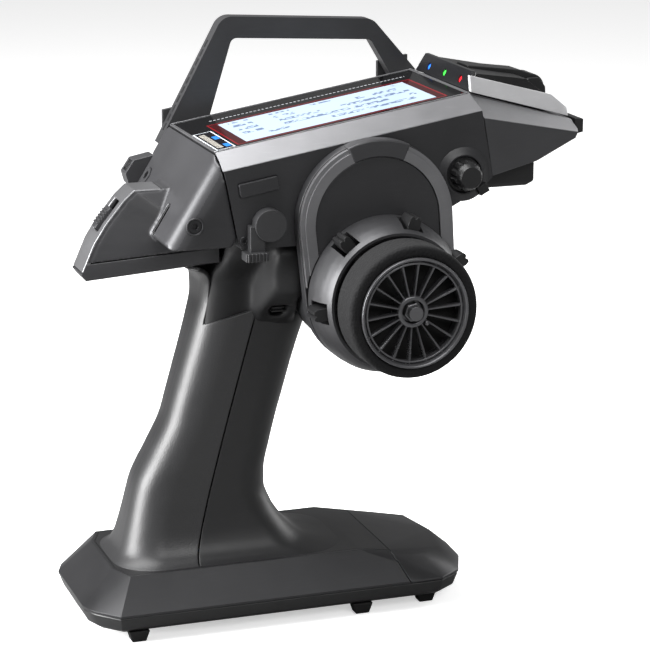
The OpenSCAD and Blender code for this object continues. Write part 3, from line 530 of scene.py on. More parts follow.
class Palette(Enum):
    """The finishes of the transmitter."""

    SHELL = Finish(
        "charcoal_shell", "charcoal_shell", (0.019, 0.019, 0.0205), 0.4, specular=0.4, grain=0.03,
        cell=0.35,
    )
    POD = Finish(
        "rear_paint", "rear_paint", (0.05, 0.05, 0.053), 0.36, metallic=0.45, grain=0.012, cell=0.3
    )
    NOSE = Finish(
        "nose_paint", "charcoal_shell", (0.05, 0.05, 0.053), 0.42, metallic=0.2, specular=0.4,
        grain=0.02, cell=0.3,
    )
    SILVER = Finish(
        "silver_paint", "silver_paint", (0.2, 0.2, 0.207), 0.38, metallic=0.8, grain=0.012,
        cell=0.3,
    )
    COLLAR = Finish(
        "collar_paint", "silver_paint", (0.045, 0.045, 0.0475), 0.42, metallic=0.5, grain=0.012,
        cell=0.3,
    )
    LIGHT_PANEL = Finish(
        "light_grey_paint", "light_grey_paint", (0.5, 0.5, 0.51), 0.45, metallic=0.2, grain=0.012,
        cell=0.3,
    )
    BLACK = Finish(
        "black_plastic", "black_plastic", (0.009, 0.009, 0.0095), 0.4, specular=0.4, grain=0.02
    )
    GLOSS = Finish(
        "gloss_black", "gloss_black", (0.008, 0.008, 0.009), 0.25, specular=0.35, grain=0.0,
        coat=0.15,
    )
    HANDLE = Finish(
        "handle_plastic", "handle_plastic", (0.026, 0.026, 0.0275), 0.38, specular=0.45,
        grain=0.03, cell=0.4,
    )
    RIM = Finish("rim_plastic", "rim_plastic", (0.1, 0.1, 0.105), 0.28, metallic=0.6, grain=0.008)
    DARK_DISC = Finish(
        "rim_inside", "rim_plastic", (0.004, 0.004, 0.004), 0.65, specular=0.2, grain=0.02
    )
    FOAM = Finish(
        "wheel_foam", "wheel_foam", (0.008, 0.008, 0.0085), 0.85, specular=0.15, grain=0.25,
        cell=0.9, sheen=0.02, mottle_size=8.0, scuffing=0.3,
    )
    GRIP = Finish(
        "grip_front_plastic", "grip_plastic", (0.009, 0.009, 0.0096), 0.44, specular=0.4,
        grain=0.05, cell=0.45,
    )
    # Painted shade: the grip plastic with lower specular and higher roughness, so the neck stays
    # dark as if shaded by the pod and the tail above it.
    NECK_PAINTED_SHADE = Finish(
        "neck_plastic_painted_shade", "grip_plastic", (0.009, 0.009, 0.0095), 0.55, specular=0.2, grain=0.05,
        cell=0.45,
    )
    RUBBER = Finish(
        "grip_rubber", "grip_rubber", (0.016, 0.016, 0.0168), 0.4, grain=0.1, cell=0.6,
        mottle_size=30.0,
    )
    BAND = Finish(
        "metallic_band", "metallic_band", (0.024, 0.024, 0.0255), 0.36, metallic=0.5, grain=0.02,
        cell=0.35,
    )
    FOOT = Finish(
        "foot_rubber", "foot_rubber", (0.006, 0.006, 0.006), 0.6, specular=0.3, grain=0.05
    )
    STEEL = Finish("steel", "steel", (0.42, 0.42, 0.43), 0.28, metallic=1.0, grain=0.01)
    NUT = Finish("nut_steel", "steel", (0.13, 0.13, 0.135), 0.34, metallic=0.9, grain=0.01)
    SCREW = Finish("dark_screw", "dark_screw", (0.04, 0.04, 0.042), 0.35, metallic=0.8, grain=0.01)
    SENSOR = Finish("sensor_plastic", "sensor_plastic", (0.014, 0.014, 0.015), 0.5)
    BOARD = Finish("circuit_board", "circuit_board", (0.02, 0.14, 0.06), 0.35)
    BATTERY = Finish("battery", "battery", (0.03, 0.2, 0.45), 0.3, metallic=0.2)
    LCD = Finish("lcd", "lcd", (0.72, 0.84, 0.92), 0.4)


class Workshop:
    """Makes each material once and finishes the meshes."""

    def __init__(self) -> None:
        """Builds the shared effects."""
        self.effects = SharedEffects()
        self.materials: dict[str, bpy.types.Material] = {}

    def dress(self, finish: AnyFinish) -> bpy.types.Material:
        """Gives the material of a finish, made at its first use."""
        kind = finish.value if isinstance(finish, Palette) else finish
        if kind.name not in self.materials:
            self.materials[kind.name] = kind.material(self.effects)
        return self.materials[kind.name]

    def place(
        self,
        name: str,
        mesh: bpy.types.Mesh,
        body: str,
        finishes: Sequence[AnyFinish],
        stands_for: Sequence[str] = (),
        smooth_angle: float = 32.0,
    ) -> bpy.types.Object:
        """Makes a finished piece of a mesh whose place is in its vertices.

        Args:
            name: the piece's name.
            mesh: its mesh, in metres in the frame.
            body: the CAD body that it rides on.
            finishes: its finishes, in the order of the mesh's material indices.
            stands_for: CAD nodes that it is shown instead of.
            smooth_angle: edges sharper than this stay sharp, in degrees.

        Returns:
            The piece.
        """
        mesh.name = name
        mesh.materials.clear()
        for finish in finishes:
            mesh.materials.append(self.dress(finish))
        mesh.polygons.foreach_set("use_smooth", [True] * len(mesh.polygons))
        mesh.set_sharp_from_angle(angle=math.radians(smooth_angle))
        piece = bpy.data.objects.new(name, mesh)
        bpy.context.scene.collection.objects.link(piece)
        flat = piece.modifiers.new("flat_faces", "WEIGHTED_NORMAL")
        flat.keep_sharp = True
        graph = bpy.context.evaluated_depsgraph_get()
        piece.data = bpy.data.meshes.new_from_object(piece.evaluated_get(graph))
        piece.data.name = name
        piece.modifiers.remove(flat)
        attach(piece, body)
        if stands_for:
            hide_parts(*stands_for)
        LOG.info("%s: %d faces on %s", name, len(piece.data.polygons), body)
        return piece


# ---------------------------------------------------------------- mesh helpers


def mesh_of(bm: bmesh.types.BMesh) -> bpy.types.Mesh:
    """Turns a bmesh into a mesh and frees it."""
    mesh = bpy.data.meshes.new("piece")
    bm.to_mesh(mesh)
    bm.free()
    return mesh


def join(bm: bmesh.types.BMesh, part: bmesh.types.BMesh) -> None:
    """Adds a solid to another and frees it."""
    scrap = mesh_of(part)
    bm.from_mesh(scrap)
    bpy.data.meshes.remove(scrap)


def bridge(bm: bmesh.types.BMesh, rings: Sequence[list]) -> None:
    """Joins each ring of corners to the next with a band of faces."""
    for low, high in zip(rings, rings[1:]):
        count = len(low)
        for k in range(count):
            bm.faces.new((low[k], low[(k + 1) % count], high[(k + 1) % count], high[k]))


def finished(holder: bpy.types.Object) -> bpy.types.Mesh:
    """Gives an object's mesh with its modifiers applied, and removes the object."""
    graph = bpy.context.evaluated_depsgraph_get()
    made = bpy.data.meshes.new_from_object(holder.evaluated_get(graph))
    bpy.data.objects.remove(holder)
    return made


def outward(bm: bmesh.types.BMesh) -> None:
    """Merges doubles and turns all faces outwards."""
    bmesh.ops.remove_doubles(bm, verts=bm.verts, dist=1e-6)
    bmesh.ops.recalc_face_normals(bm, faces=bm.faces)


def lathe(profile: Outline, axis: Vector, start: float, sections: int = 128) -> bmesh.types.BMesh:
    """Turns a closed profile about a line along Y.

    Args:
        profile: radius and distance behind the start, in millimetres, round the closed section.
        axis: x and z of the line.
        start: the y that distances are measured from.
        sections: number of steps round.

    Returns:
        The turned solid.
    """
    bm = bmesh.new()
    rings = []
    for i in range(sections):
        a = 2 * math.pi * i / sections
        rings.append(
            [
                bm.verts.new(at_mm(axis.x + r * math.cos(a), start + d, axis.z + r * math.sin(a)))
                for r, d in profile
            ]
        )
    for i in range(sections):
        near, far = rings[i], rings[(i + 1) % sections]
        for j in range(len(profile)):
            k = (j + 1) % len(profile)
            bm.faces.new((near[j], near[k], far[k], far[j]))
    outward(bm)
    return bm


def rounded(profile: Outline, radius: float, steps: int = 5) -> Outline:
    """Rounds every corner of a closed outline.

    Args:
        profile: the outline's corners.
        radius: the rounding, cut back where an edge is short.
        steps: points on each rounding.

    Returns:
        The rounded outline.
    """
    out: Outline = []
    n = len(profile)
    for i in range(n):
        p, a, b = (Vector(profile[k]) for k in (i, i - 1, (i + 1) % n))
        ta, tb = (a - p), (b - p)
        r = min(radius, ta.length * 0.45, tb.length * 0.45)
        start, end = p + ta.normalized() * r, p + tb.normalized() * r
        for s in range(steps + 1):
            t = s / steps
            q = start * (1 - t) ** 2 + p * 2 * t * (1 - t) + end * t * t
            out.append((q.x, q.y))
    return out


def node_bmesh(node: str) -> bmesh.types.BMesh:
    """Gives a merged copy of a CAD node with its flat faces whole."""
    bm = bmesh.new()
    bm.from_mesh(bpy.data.objects[node].data)
    bmesh.ops.remove_doubles(bm, verts=bm.verts, dist=2e-6)
    bmesh.ops.dissolve_degenerate(bm, edges=bm.edges, dist=1e-6)
    bmesh.ops.dissolve_limit(bm, angle_limit=math.radians(0.4), verts=bm.verts, edges=bm.edges)
    return bm


def soften_edges(
    bm: bmesh.types.BMesh, width: float, angle: float = 28.0, segments: int = 3
) -> None:
    """Rounds the outward edges of a solid.

    Args:
        bm: the solid.
        width: width of the rounding, in millimetres.
        angle: only edges sharper than this are rounded, in degrees.
        segments: steps across the rounding.
    """
    limit = math.radians(angle)
    edges = [
        e
        for e in bm.edges
        if len(e.link_faces) == 2 and e.is_convex and e.calc_face_angle(0.0) > limit
    ]
    bmesh.ops.bevel(
        bm, geom=edges, offset=width * MM, offset_type="OFFSET", segments=segments, profile=0.5,
        affect="EDGES", clamp_overlap=True,
    )


def blended(
    parts: Iterable[bmesh.types.BMesh], voxel: float, passes: int, grow: float = 0.0
) -> bpy.types.Mesh:
    """Melts solids into one and smooths where they meet.

    Args:
        parts: the solids.
        voxel: size of the cells that they are rebuilt from, in millimetres.
        passes: number of smoothing passes.
        grow: distance that the skin moves outwards, in millimetres.

    Returns:
        The melted mesh.
    """
    joined = bpy.data.meshes.new("joined")
    bm = bmesh.new()
    for part in parts:
        join(bm, part)
    bmesh.ops.triangulate(bm, faces=bm.faces)
    bm.to_mesh(joined)
    bm.free()
    holder = bpy.data.objects.new("joined", joined)
    bpy.context.scene.collection.objects.link(holder)
    remesh = holder.modifiers.new("remesh", "REMESH")
    remesh.mode = "VOXEL"
    remesh.voxel_size = voxel * MM
    smooth = holder.modifiers.new("smooth", "SMOOTH")
    smooth.factor = 0.5
    smooth.iterations = passes
    if grow:
        move = holder.modifiers.new("grow", "DISPLACE")
        move.strength = grow * MM
        move.mid_level = 0.0
    return finished(holder)


# ---------------------------------------------------------------- repeated things


class Repeats:
    """Geometry Nodes that set a small part out round an axis or along a line."""

    def __init__(self) -> None:
        """Builds both trees."""
        self.ring = self._tree(
            "ring_of_parts",
            {
                "Count": "NodeSocketInt", "Centre": "NodeSocketVector",
                "First Angle": "NodeSocketFloat",
            },
            self._turns,
        )
        self.row = self._tree(
            "row_of_parts",
            {"Count": "NodeSocketInt", "Start": "NodeSocketVector", "Step": "NodeSocketVector"},
            self._steps,
        )

    def _tree(
        self, name: str, inputs: dict[str, str], fill: Callable[[Graph, bpy.types.Node], tuple]
    ) -> bpy.types.NodeTree:
        """Builds one tree: line of points, instances, realised, moved and given its material.

        Args:
            name: the tree's name.
            inputs: its named inputs and their socket types.
            fill: gives the line's step, the turn of each part and the final move.

        Returns:
            The tree.
        """
        tree = bpy.data.node_groups.new(name, "GeometryNodeTree")
        tree.interface.new_socket("Geometry", in_out="INPUT", socket_type="NodeSocketGeometry")
        for label, kind in inputs.items():
            tree.interface.new_socket(label, in_out="INPUT", socket_type=kind)
        tree.interface.new_socket("Material", in_out="INPUT", socket_type="NodeSocketMaterial")
        tree.interface.new_socket("Geometry", in_out="OUTPUT", socket_type="NodeSocketGeometry")
        g = Graph(tree)
        inner, outer = g.add("NodeGroupInput"), g.add("NodeGroupOutput")
        step, turn, move = fill(g, inner)
        line = g.add("GeometryNodeMeshLine", mode="OFFSET")
        g.feed(line.inputs["Count"], inner.outputs["Count"])
        g.feed(line.inputs["Offset"], step)
        copies = g.add("GeometryNodeInstanceOnPoints")
        g.feed(copies.inputs["Points"], line.outputs["Mesh"])
        g.feed(copies.inputs["Instance"], inner.outputs["Geometry"])
        if turn is not None:
            g.feed(copies.inputs["Rotation"], turn)
        real = g.add("GeometryNodeRealizeInstances")
        g.feed(real.inputs["Geometry"], copies.outputs["Instances"])
        moved = g.add("GeometryNodeTransform")
        g.feed(moved.inputs["Geometry"], real.outputs["Geometry"])
        g.feed(moved.inputs["Translation"], move)
        painted = g.add("GeometryNodeSetMaterial")
        g.feed(painted.inputs["Geometry"], moved.outputs["Geometry"])
        g.feed(painted.inputs["Material"], inner.outputs["Material"])
        g.feed(outer.inputs["Geometry"], painted.outputs["Geometry"])
        return tree

    def _turns(self, g: Graph, inner: bpy.types.Node) -> tuple:
        """Equal turns about Y, moved to the centre."""
        share = g.math("DIVIDE", 2 * math.pi, inner.outputs["Count"])
        angle = g.math(
            "ADD", g.math("MULTIPLY", g.add("GeometryNodeInputIndex").outputs[0], share),
            inner.outputs["First Angle"],
        )
        euler = g.add("ShaderNodeCombineXYZ")
        g.feed(euler.inputs[1], angle)
        turn = g.add("FunctionNodeEulerToRotation")
        g.feed(turn.inputs[0], euler.outputs[0])
        return (0.0, 0.0, 0.0), turn.outputs[0], inner.outputs["Centre"]

    def _steps(self, g: Graph, inner: bpy.types.Node) -> tuple:
        """Equal steps along a line, from its start."""
        return inner.outputs["Step"], None, inner.outputs["Start"]

    def lay_out(
        self, tree: bpy.types.NodeTree, part: bpy.types.Mesh, inputs: dict[str, object]
    ) -> bpy.types.Mesh:
        """Runs a tree on a part and gives the plain mesh.

        Args:
            tree: the tree to run.
            part: the mesh that is repeated.
            inputs: values of the tree's named inputs.

        Returns:
            The repeated parts as one mesh.
        """
        holder = bpy.data.objects.new("part", part)
        bpy.context.scene.collection.objects.link(holder)
        modifier = holder.modifiers.new("repeat", "NODES")
        modifier.node_group = tree
        ids = {i.name: i.identifier for i in tree.interface.items_tree if i.in_out == "INPUT"}
        for label, value in inputs.items():
            modifier[ids[label]] = value
        return finished(holder)


def prism(outline: Outline, low: float, high: float) -> bmesh.types.BMesh:
    """Closed prism along Y of an outline in x and z, in millimetres about its own centre."""
    bm = bmesh.new()
    rings = [[bm.verts.new(Vector((x, y, z)) * MM) for x, z in outline] for y in (low, high)]
    count = len(outline)
    for i in range(count):
        j = (i + 1) % count
        bm.faces.new((rings[0][i], rings[0][j], rings[1][j], rings[1][i]))
    bm.faces.new(rings[0])
    bm.faces.new(reversed(rings[1]))
    outward(bm)
    return bm


def closed_tube(points: Sequence[Vector], radius: float, sides: int = 8) -> bmesh.types.BMesh:
    """Closed round tube along a loop.

    Args:
        points: the loop's points in the frame, in metres.
        radius: the tube's radius, in millimetres.
        sides: number of its sides.

    Returns:
        The tube.
    """
    bm = bmesh.new()
    count = len(points)
    up = (points[count // 3] - points[0]).cross(points[2 * count // 3] - points[0]).normalized()
    rings = []
    for i, point in enumerate(points):
        ahead = (points[(i + 1) % count] - points[i - 1]).normalized()
        side = ahead.cross(up).normalized()
        angles = (2 * math.pi * k / sides for k in range(sides))
        rings.append(
            [
                bm.verts.new(point + (side * math.cos(a) + up * math.sin(a)) * radius * MM)
                for a in angles
            ]
        )
    bridge(bm, rings + rings[:1])
    outward(bm)
    return bm


# ---------------------------------------------------------------- sub-assemblies


@dataclass(frozen=True)
class SoftEdged:
    """A CAD part shown with its edges rounded."""

    node: str
    body: str
    finish: "Palette | Finish"
    edge: float = 0.35
    segments: int = 2

    def build(self, shop: Workshop) -> bpy.types.Object:
        """Builds the piece in place of its CAD node.

        Args:
            shop: the workshop.

        Returns:
            The piece.
        """
        bm = node_bmesh(self.node)
        soften_edges(bm, self.edge, segments=self.segments)
        return shop.place(self.node + "_soft", mesh_of(bm), self.body, [self.finish], [self.node])


def paint_where(
    piece: bpy.types.Object, test: Callable[[bpy.types.MeshPolygon], bool], index: int = 1
) -> None:
    """Gives a second finish to the faces that pass a test."""
    for polygon in piece.data.polygons:
        if test(polygon):
            polygon.material_index = index


@dataclass
class Head:
    """Display head: both half shells, the display panel, the lamps and the handle."""

    lamp_r: float = 1.6
    lamp_rise: float = 0.9
    lamp_sides: int = 32
    lamp_steps: int = 6
    lamp_tilt: float = -63.0
    lamp_place: tuple[float, float] = (54.6, 226.2)
    lamps: tuple[tuple[str, float, Colour], ...] = (
        ("lamp_red", -17.8, (0.75, 0.01, 0.02)),
        ("lamp_green", 0.0, (0.05, 0.85, 0.06)),
        ("lamp_blue", 17.8, (0.02, 0.16, 0.9)),
    )
    edge: float = 0.25
    bevel_low: float = 0.42
    edging: tuple[float, float, float] = (0.1, 111.4, 33.4)
    bevel: tuple[tuple[float, float, float], ...] = (
        (-58.0, 33.7, 205.0),
        (51.6, 33.7, 223.05),
        (52.9, 41.85, 216.95),
        (-57.6, 41.85, 198.65),
    )
    far_corner: float = 5.0
    near_corner: float = 0.6
    bevel_normal: tuple[float, float, float] = (-0.13, 0.585, 0.8)
    trim_depths: tuple[float, float] = (-0.5, 0.12)
    corner_heights: tuple[float, float] = (222.0, 229.0)
    corner_places: tuple[float, float] = (56.0, 66.0)
    slots: int = 10
    slot_start: float = 9.0
    slot_pitch: float = 4.4
    slot_half: tuple[float, float] = (1.8, 0.5)
    slot_depth: float = 0.75
    slot_sink: float = 0.38
    handle_rear: tuple[tuple[float, float, float], ...] = (
        (-63.6, 38.6, 195.5), (-34.0, 38.6, 250.0)
    )

    def build(self, shop: Workshop, repeats: Repeats) -> None:
        """Builds the head's pieces."""
        for node in ("head_shell_right", "head_shell_left", "nose_shell"):
            bm = node_bmesh(node)
            soften_edges(bm, self.edge)
            side = Palette.NOSE if node == "nose_shell" else Palette.SHELL
            piece = shop.place(
                node + "_soft", mesh_of(bm), "housing", [side, Palette.SILVER], [node]
            )
            paint_where(piece, lambda p: p.normal.z > self.bevel_low)
        self._panel(shop)
        self._bevel_trims(shop)
        self._side_panels(shop)
        self._handle_slots(shop, repeats)
        for part in (
            SoftEdged("led_pod", "housing", Palette.GLOSS, 0.4),
            SoftEdged("carry_handle", "housing", Palette.HANDLE, 0.9, 3),
            SoftEdged("nose_top_cover", "housing", Palette.BLACK, 0.8),
            SoftEdged("nose_bumper", "housing", Palette.BLACK, 0.6),
            SoftEdged("sensor_box", "housing", Palette.BLACK, 2.0, 4),
            SoftEdged("strap_eyelet", "housing", Palette.BLACK, 0.3),
            SoftEdged("antenna_arm", "antenna", Palette.BLACK, 0.8, 3),
            SoftEdged("antenna_pin", "housing", Palette.BLACK, 0.25),
        ):
            part.build(shop)
        self._lamps(shop)

    def _panel(self, shop: Workshop) -> None:
        """Printed gloss panel over the display."""
        bm = node_bmesh("display_glass")
        soften_edges(bm, 0.3)
        shop.place("display_panel", mesh_of(bm), "housing", [DisplayArt()], ["display_glass"])
        low, high, half = self.edging
        corners = rounded([(low, -half), (high, -half), (high, half), (low, half)], 1.0, 4)
        loop = [deck_point(u, v, 0.12) for u, v in corners]
        shop.place(
            "display_edging", mesh_of(closed_tube(loop, 0.24)), "housing", [Palette.SILVER],
            smooth_angle=70.0,
        )

    def _bevel_trims(self, shop: Workshop) -> None:
        """Thin painted strips that face the bevels on both sides of the display."""
        for name, side in (("bevel_trim_right", -1.0), ("bevel_trim_left", 1.0)):
            corners = [Vector((x, side * y, z)) for x, y, z in self.bevel]
            nx, ny, nz = self.bevel_normal
            normal = Vector((nx, side * ny, nz)).normalized()
            bm = bmesh.new()
            low, high = (
                [bm.verts.new(at_mm(*(c + normal * d))) for c in corners] for d in self.trim_depths
            )
            bm.faces.new(low)
            bm.faces.new(high)
            bridge(bm, [low, high])
            outward(bm)
            soften_edges(bm, 0.12, segments=2)
            shop.place(name, mesh_of(bm), "housing", [Palette.SILVER])

    def _side_panels(self, shop: Workshop) -> None:
        """Painted side panels of the nose, the far one with its rear corner cut lower."""
        bm = node_bmesh("nose_side_panels")
        soften_edges(bm, 0.3, segments=2)
        for vertex in bm.verts:
            x, y, z = vertex.co / MM - ORIGIN_SHIFT
            drop = self.far_corner if y > 0 else self.near_corner
            near_top = smooth_step(*self.corner_heights, z)
            near_rear = 1.0 - smooth_step(*self.corner_places, x)
            vertex.co.z -= drop * MM * near_top * near_rear
        shop.place(
            "nose_side_panels_soft", mesh_of(bm), "housing", [Palette.LIGHT_PANEL],
            ["nose_side_panels"],
        )

    def _handle_slots(self, shop: Workshop, repeats: Repeats) -> None:
        """Row of short slots up the rear edge of the handle, laid out by Geometry Nodes."""
        foot, top = (Vector(end) for end in self.handle_rear)
        along = (top - foot).normalized()
        off = Vector((-along.z, 0.0, along.x))
        outline = []
        length, width = self.slot_half
        corners = [(-length, -width), (length, -width), (length, width), (-length, width)]
        for a, b in rounded(corners, 0.4, 3):
            p = along * a + off * b
            outline.append((p.x, p.z))
        slot = mesh_of(prism(outline, -self.slot_depth, self.slot_depth))
        start = foot + along * self.slot_start - off * self.slot_sink
        inputs = {
            "Count": self.slots,
            "Start": at_mm(*start),
            "Step": along * self.slot_pitch * MM,
            "Material": shop.dress(Palette.BLACK),
        }
        shop.place(
            "handle_slots", repeats.lay_out(repeats.row, slot, inputs), "housing", [Palette.BLACK]
        )

    def _lamps(self, shop: Workshop) -> None:
        """Three domed status lamps."""
        tilt = Matrix.Rotation(math.radians(self.lamp_tilt), 4, "Y")
        x, z = self.lamp_place
        turns = [2 * math.pi * k / self.lamp_sides for k in range(self.lamp_sides)]
        heights = [math.pi / 2 * k / self.lamp_steps for k in range(self.lamp_steps)]
        dome = [(self.lamp_r * math.cos(a), self.lamp_rise * math.sin(a)) for a in heights]
        for i, (name, y, colour) in enumerate(self.lamps):
            bm = bmesh.new()
            rings = [
                [bm.verts.new(Vector((r * math.cos(t), r * math.sin(t), h))) for t in turns]
                for r, h in [(self.lamp_r, -1.5), *dome]
            ]
            bridge(bm, rings)
            bm.faces.new(rings[-1])
            bm.faces.new(reversed(rings[0]))
            outward(bm)
            for v in bm.verts:
                v.co = at_mm(*(tilt @ v.co + Vector((x, y, z))))
            stands_for = ["status_leds"] if i == 0 else []
            shop.place(
                name, mesh_of(bm), "housing", [Glow(name, "led_lens", colour, 1.0)], stands_for
            )


@dataclass
class RearPod:
    """Rear of the head: the pod, the tail, the power strip and what is set into them."""

    voxel: float = 0.6
    passes: int = 8
    ovals: tuple[tuple[str, tuple[float, float, float], float, float, float], ...] = (
        ("pod_oval", (-61.2, 20.7, 198.9), 5.0, 2.7, 0.42),
        ("pod_oval_inner", (-61.3, 20.4, 198.8), 2.6, 0.9, 0.4),
        ("jack_rim", (-69.7, 28.5, 185.1), 3.7, 3.7, 0.45),
    )
    screw_rim: tuple[float, float, float] = (-69.6, 177.0, 3.0)
    side_facing: float = 0.86

    def build(self, shop: Workshop) -> None:
        """Builds the rear pieces."""
        shell = blended([node_bmesh("rear_cover")], self.voxel, self.passes)
        piece = shop.place(
            "rear_cover_shell", shell, "housing", [Palette.POD, Palette.SHELL], ["rear_cover"],
            smooth_angle=60.0,
        )
        paint_where(piece, lambda p: abs(p.normal.y) > self.side_facing)
        for part in (
            SoftEdged("tail_cover", "housing", Palette.SHELL, 0.6, 3),
            SoftEdged("power_strip", "housing", Palette.SILVER, 0.6, 3),
            SoftEdged("power_switch", "power_switch", Palette.COLLAR, 0.3),
            SoftEdged("encoder_housing", "housing", Palette.POD, 0.8, 3),
            SoftEdged("edit_encoder", "edit_encoder", Palette.BLACK, 0.12, 1),
            SoftEdged("card_socket", "housing", Palette.BLACK, 0.2),
        ):
            part.build(shop)
        SoftEdged("headphone_jack", "housing", Palette.POD, 0.4).build(shop)
        self._rings(shop)

    def _rings(self, shop: Workshop) -> None:
        """Raised oval on the rear face, the rim of the jack's well and that of the side screw."""
        down = Vector((-0.53, 0.0, -0.848))
        across = Vector((0.0, 1.0, 0.0))
        for name, centre, half_across, half_down, tube in self.ovals:
            wide, tall, middle = across * half_across, down * half_down, Vector(centre)
            turns = (2 * math.pi * k / 48 for k in range(48))
            loop = [at_mm(*(middle + wide * math.cos(t) + tall * math.sin(t))) for t in turns]
            shop.place(
                name, mesh_of(closed_tube(loop, tube)), "housing", [Palette.POD], smooth_angle=70.0
            )
        x, z, r = self.screw_rim
        rim = rounded([(r, -0.3), (r + 0.6, -0.3), (r + 0.6, 0.4), (r, 0.4)], 0.25, 3)
        shop.place(
            "side_screw_rim", mesh_of(lathe(rim, Vector((x, 0.0, z)), SIDE_Y, 64)), "housing",
            [Palette.POD], smooth_angle=60.0,
        )


@dataclass
class Grip:
    """Grip: a smooth lofted rubber skin behind, a plastic skin in front and the neck above them.

    Stations are height, rear, front, half width and corner radius.
    """

    stations: tuple[tuple[float, ...], ...] = (
        (27.2, -99.0, 3.0, 28.0, 18.0),
        (28.4, -97.4, -5.0, 25.4, 17.0),
        (31.0, -95.2, -13.6, 22.8, 16.0),
        (35.0, -93.6, -18.8, 20.8, 15.5),
        (40.0, -92.2, -23.0, 19.4, 15.0),
        (47.0, -90.5, -27.2, 18.3, 15.0),
        (55.0, -88.6, -29.7, 17.6, 15.0),
        (61.0, -86.8, -29.6, 17.4, 15.0),
        (74.0, -80.0, -26.9, 17.2, 15.0),
        (87.0, -73.4, -23.6, 17.3, 15.0),
        (95.0, -71.0, -21.3, 17.5, 15.0),
        (107.0, -67.4, -18.0, 17.9, 15.0),
        (120.0, -63.5, -14.0, 18.4, 15.0),
        (130.0, -60.7, -10.5, 18.8, 15.0),
        (140.0, -58.4, -8.2, 19.4, 14.0),
        (146.0, -58.2, -8.0, 20.0, 13.0),
        (149.5, -59.6, -8.0, 20.3, 12.5),
        (151.8, -62.8, -8.0, 20.5, 12.0),
        (153.0, -67.0, -8.0, 20.6, 12.0),
    )
    seam_foot: float = -65.4
    seam_lean: float = 0.2686
    gap: float = 0.22
    skin: float = 1.8
    neck_foot: float = 112.0
    neck_passes: int = 60
    neck_tuck: float = 1.5
    rear_top: float = 152.5
    notch_x: float = -57.8
    notch_z: float = 128.8
    columns: int = 72
    rows: int = 110
    seam_top: tuple[tuple[float, float], ...] = (
        (-57.8, 128.8), (-52.2, 131.0), (-36.8, 135.0), (-29.7, 136.7), (-22.8, 139.1),
        (-17.5, 142.5), (-8.0, 147.0),
    )

    def build(self, shop: Workshop) -> None:
        """Builds both skins, the neck and the slider."""
        shop.place(
            "grip_rubber_skin", self._skin(rear=True), "housing", [Palette.RUBBER],
            ["rubber_grip"], smooth_angle=50.0,
        )
        shop.place(
            "grip_front_skin", self._skin(rear=False), "housing", [Palette.GRIP], smooth_angle=50.0
        )
        self._neck(shop)
        SoftEdged("grip_slider", "grip_slider", Palette.BLACK, 0.2).build(shop)

    def _outline(self, z: float, rear: bool, count: int) -> list[Vector]:
        """Half of the grip's cross-section at a height, from the near seam round to the far one.

        Args:
            z: the height.
            rear: the rubber half if true, or the front half.
            count: number of points wanted.

        Returns:
            Points spaced evenly along the outline.
        """
        back, front, half, radius = along_table(self.stations, z)
        seam = self.seam_foot + (z - self.stations[0][0]) * self.seam_lean
        edge, inward = (back, 1.0) if rear else (front, -1.0)
        seam -= self.gap * inward
        line = [Vector((seam, -half, z))]
        for k in range(17):
            a = math.pi / 2 * k / 16
            line.append(
                Vector(
                    (
                        edge + inward * radius * (1 - math.sin(a)),
                        -half + radius * (1 - math.cos(a)), z,
                    )
                )
            )
        crown = 0.15
        line += [
            Vector((edge - inward * crown * (1 - t * t), (half - radius) * t, z))
            for t in (-0.6, -0.3, 0.0, 0.3, 0.6)
        ]
        line += [Vector((p.x, -p.y, z)) for p in reversed(line[:18])]
        lengths = [0.0]
        for a, b in zip(line, line[1:]):
            lengths.append(lengths[-1] + (b - a).length)
        out, i = [], 0
        for k in range(count):
            want = lengths[-1] * k / (count - 1)
            while i < len(line) - 2 and lengths[i + 1] < want:
                i += 1
            t = (want - lengths[i]) / max(lengths[i + 1] - lengths[i], 1e-9)
            out.append(line[i].lerp(line[i + 1], min(1.0, t)))
        return out

    def _top(self, x: float) -> float:
        """Height of the skins' top edge on the sides, at x."""
        return along_table([(a, b) for a, b in self.seam_top], x)[0]

    def _skin(self, rear: bool) -> bpy.types.Mesh:
        """Lofts one half of the grip and gives it its wall.

        Args:
            rear: the rubber half if true, or the front half.

        Returns:
            The closed skin.
        """
        tops = [self.rear_top] * self.columns
        for _ in range(4):
            for k in range(self.columns):
                x = self._outline(tops[k], rear, self.columns)[k].x
                near_rear = rear and self._outline(
                    self.notch_z, True, self.columns
                )[k].x < self.notch_x
                tops[k] = self.rear_top if near_rear else self._top(x) - 0.2
        foot = self.stations[0][0]
        bm = bmesh.new()
        grid = []
        for k in range(self.columns):
            column = []
            for j in range(self.rows):
                share = j / (self.rows - 1)
                z = foot + (tops[k] - foot) * share**1.25
                column.append(bm.verts.new(at_mm(*self._outline(z, rear, self.columns)[k])))
            grid.append(column)
        for a, b, ta, tb in zip(grid, grid[1:], tops, tops[1:]):
            if abs(ta - tb) > 8.0:
                self._stitch(bm, a, b)
                continue
            for j in range(self.rows - 1):
                bm.faces.new((a[j], b[j], b[j + 1], a[j + 1]))
        bmesh.ops.recalc_face_normals(bm, faces=bm.faces)
        centre = at_mm(-50.0, 0.0, 80.0)
        lean = sum((f.normal.dot(f.calc_center_median() - centre) for f in bm.faces), 0.0)
        if lean < 0:
            bmesh.ops.reverse_faces(bm, faces=bm.faces)
        holder = bpy.data.objects.new("skin", mesh_of(bm))
        bpy.context.scene.collection.objects.link(holder)
        wall = holder.modifiers.new("wall", "SOLIDIFY")
        wall.thickness = self.skin * MM
        wall.offset = -1.0
        made = finished(holder)
        bm = bmesh.new()
        bm.from_mesh(made)
        soften_edges(bm, 0.45, angle=50.0)
        bm.to_mesh(made)
        bm.free()
        return made

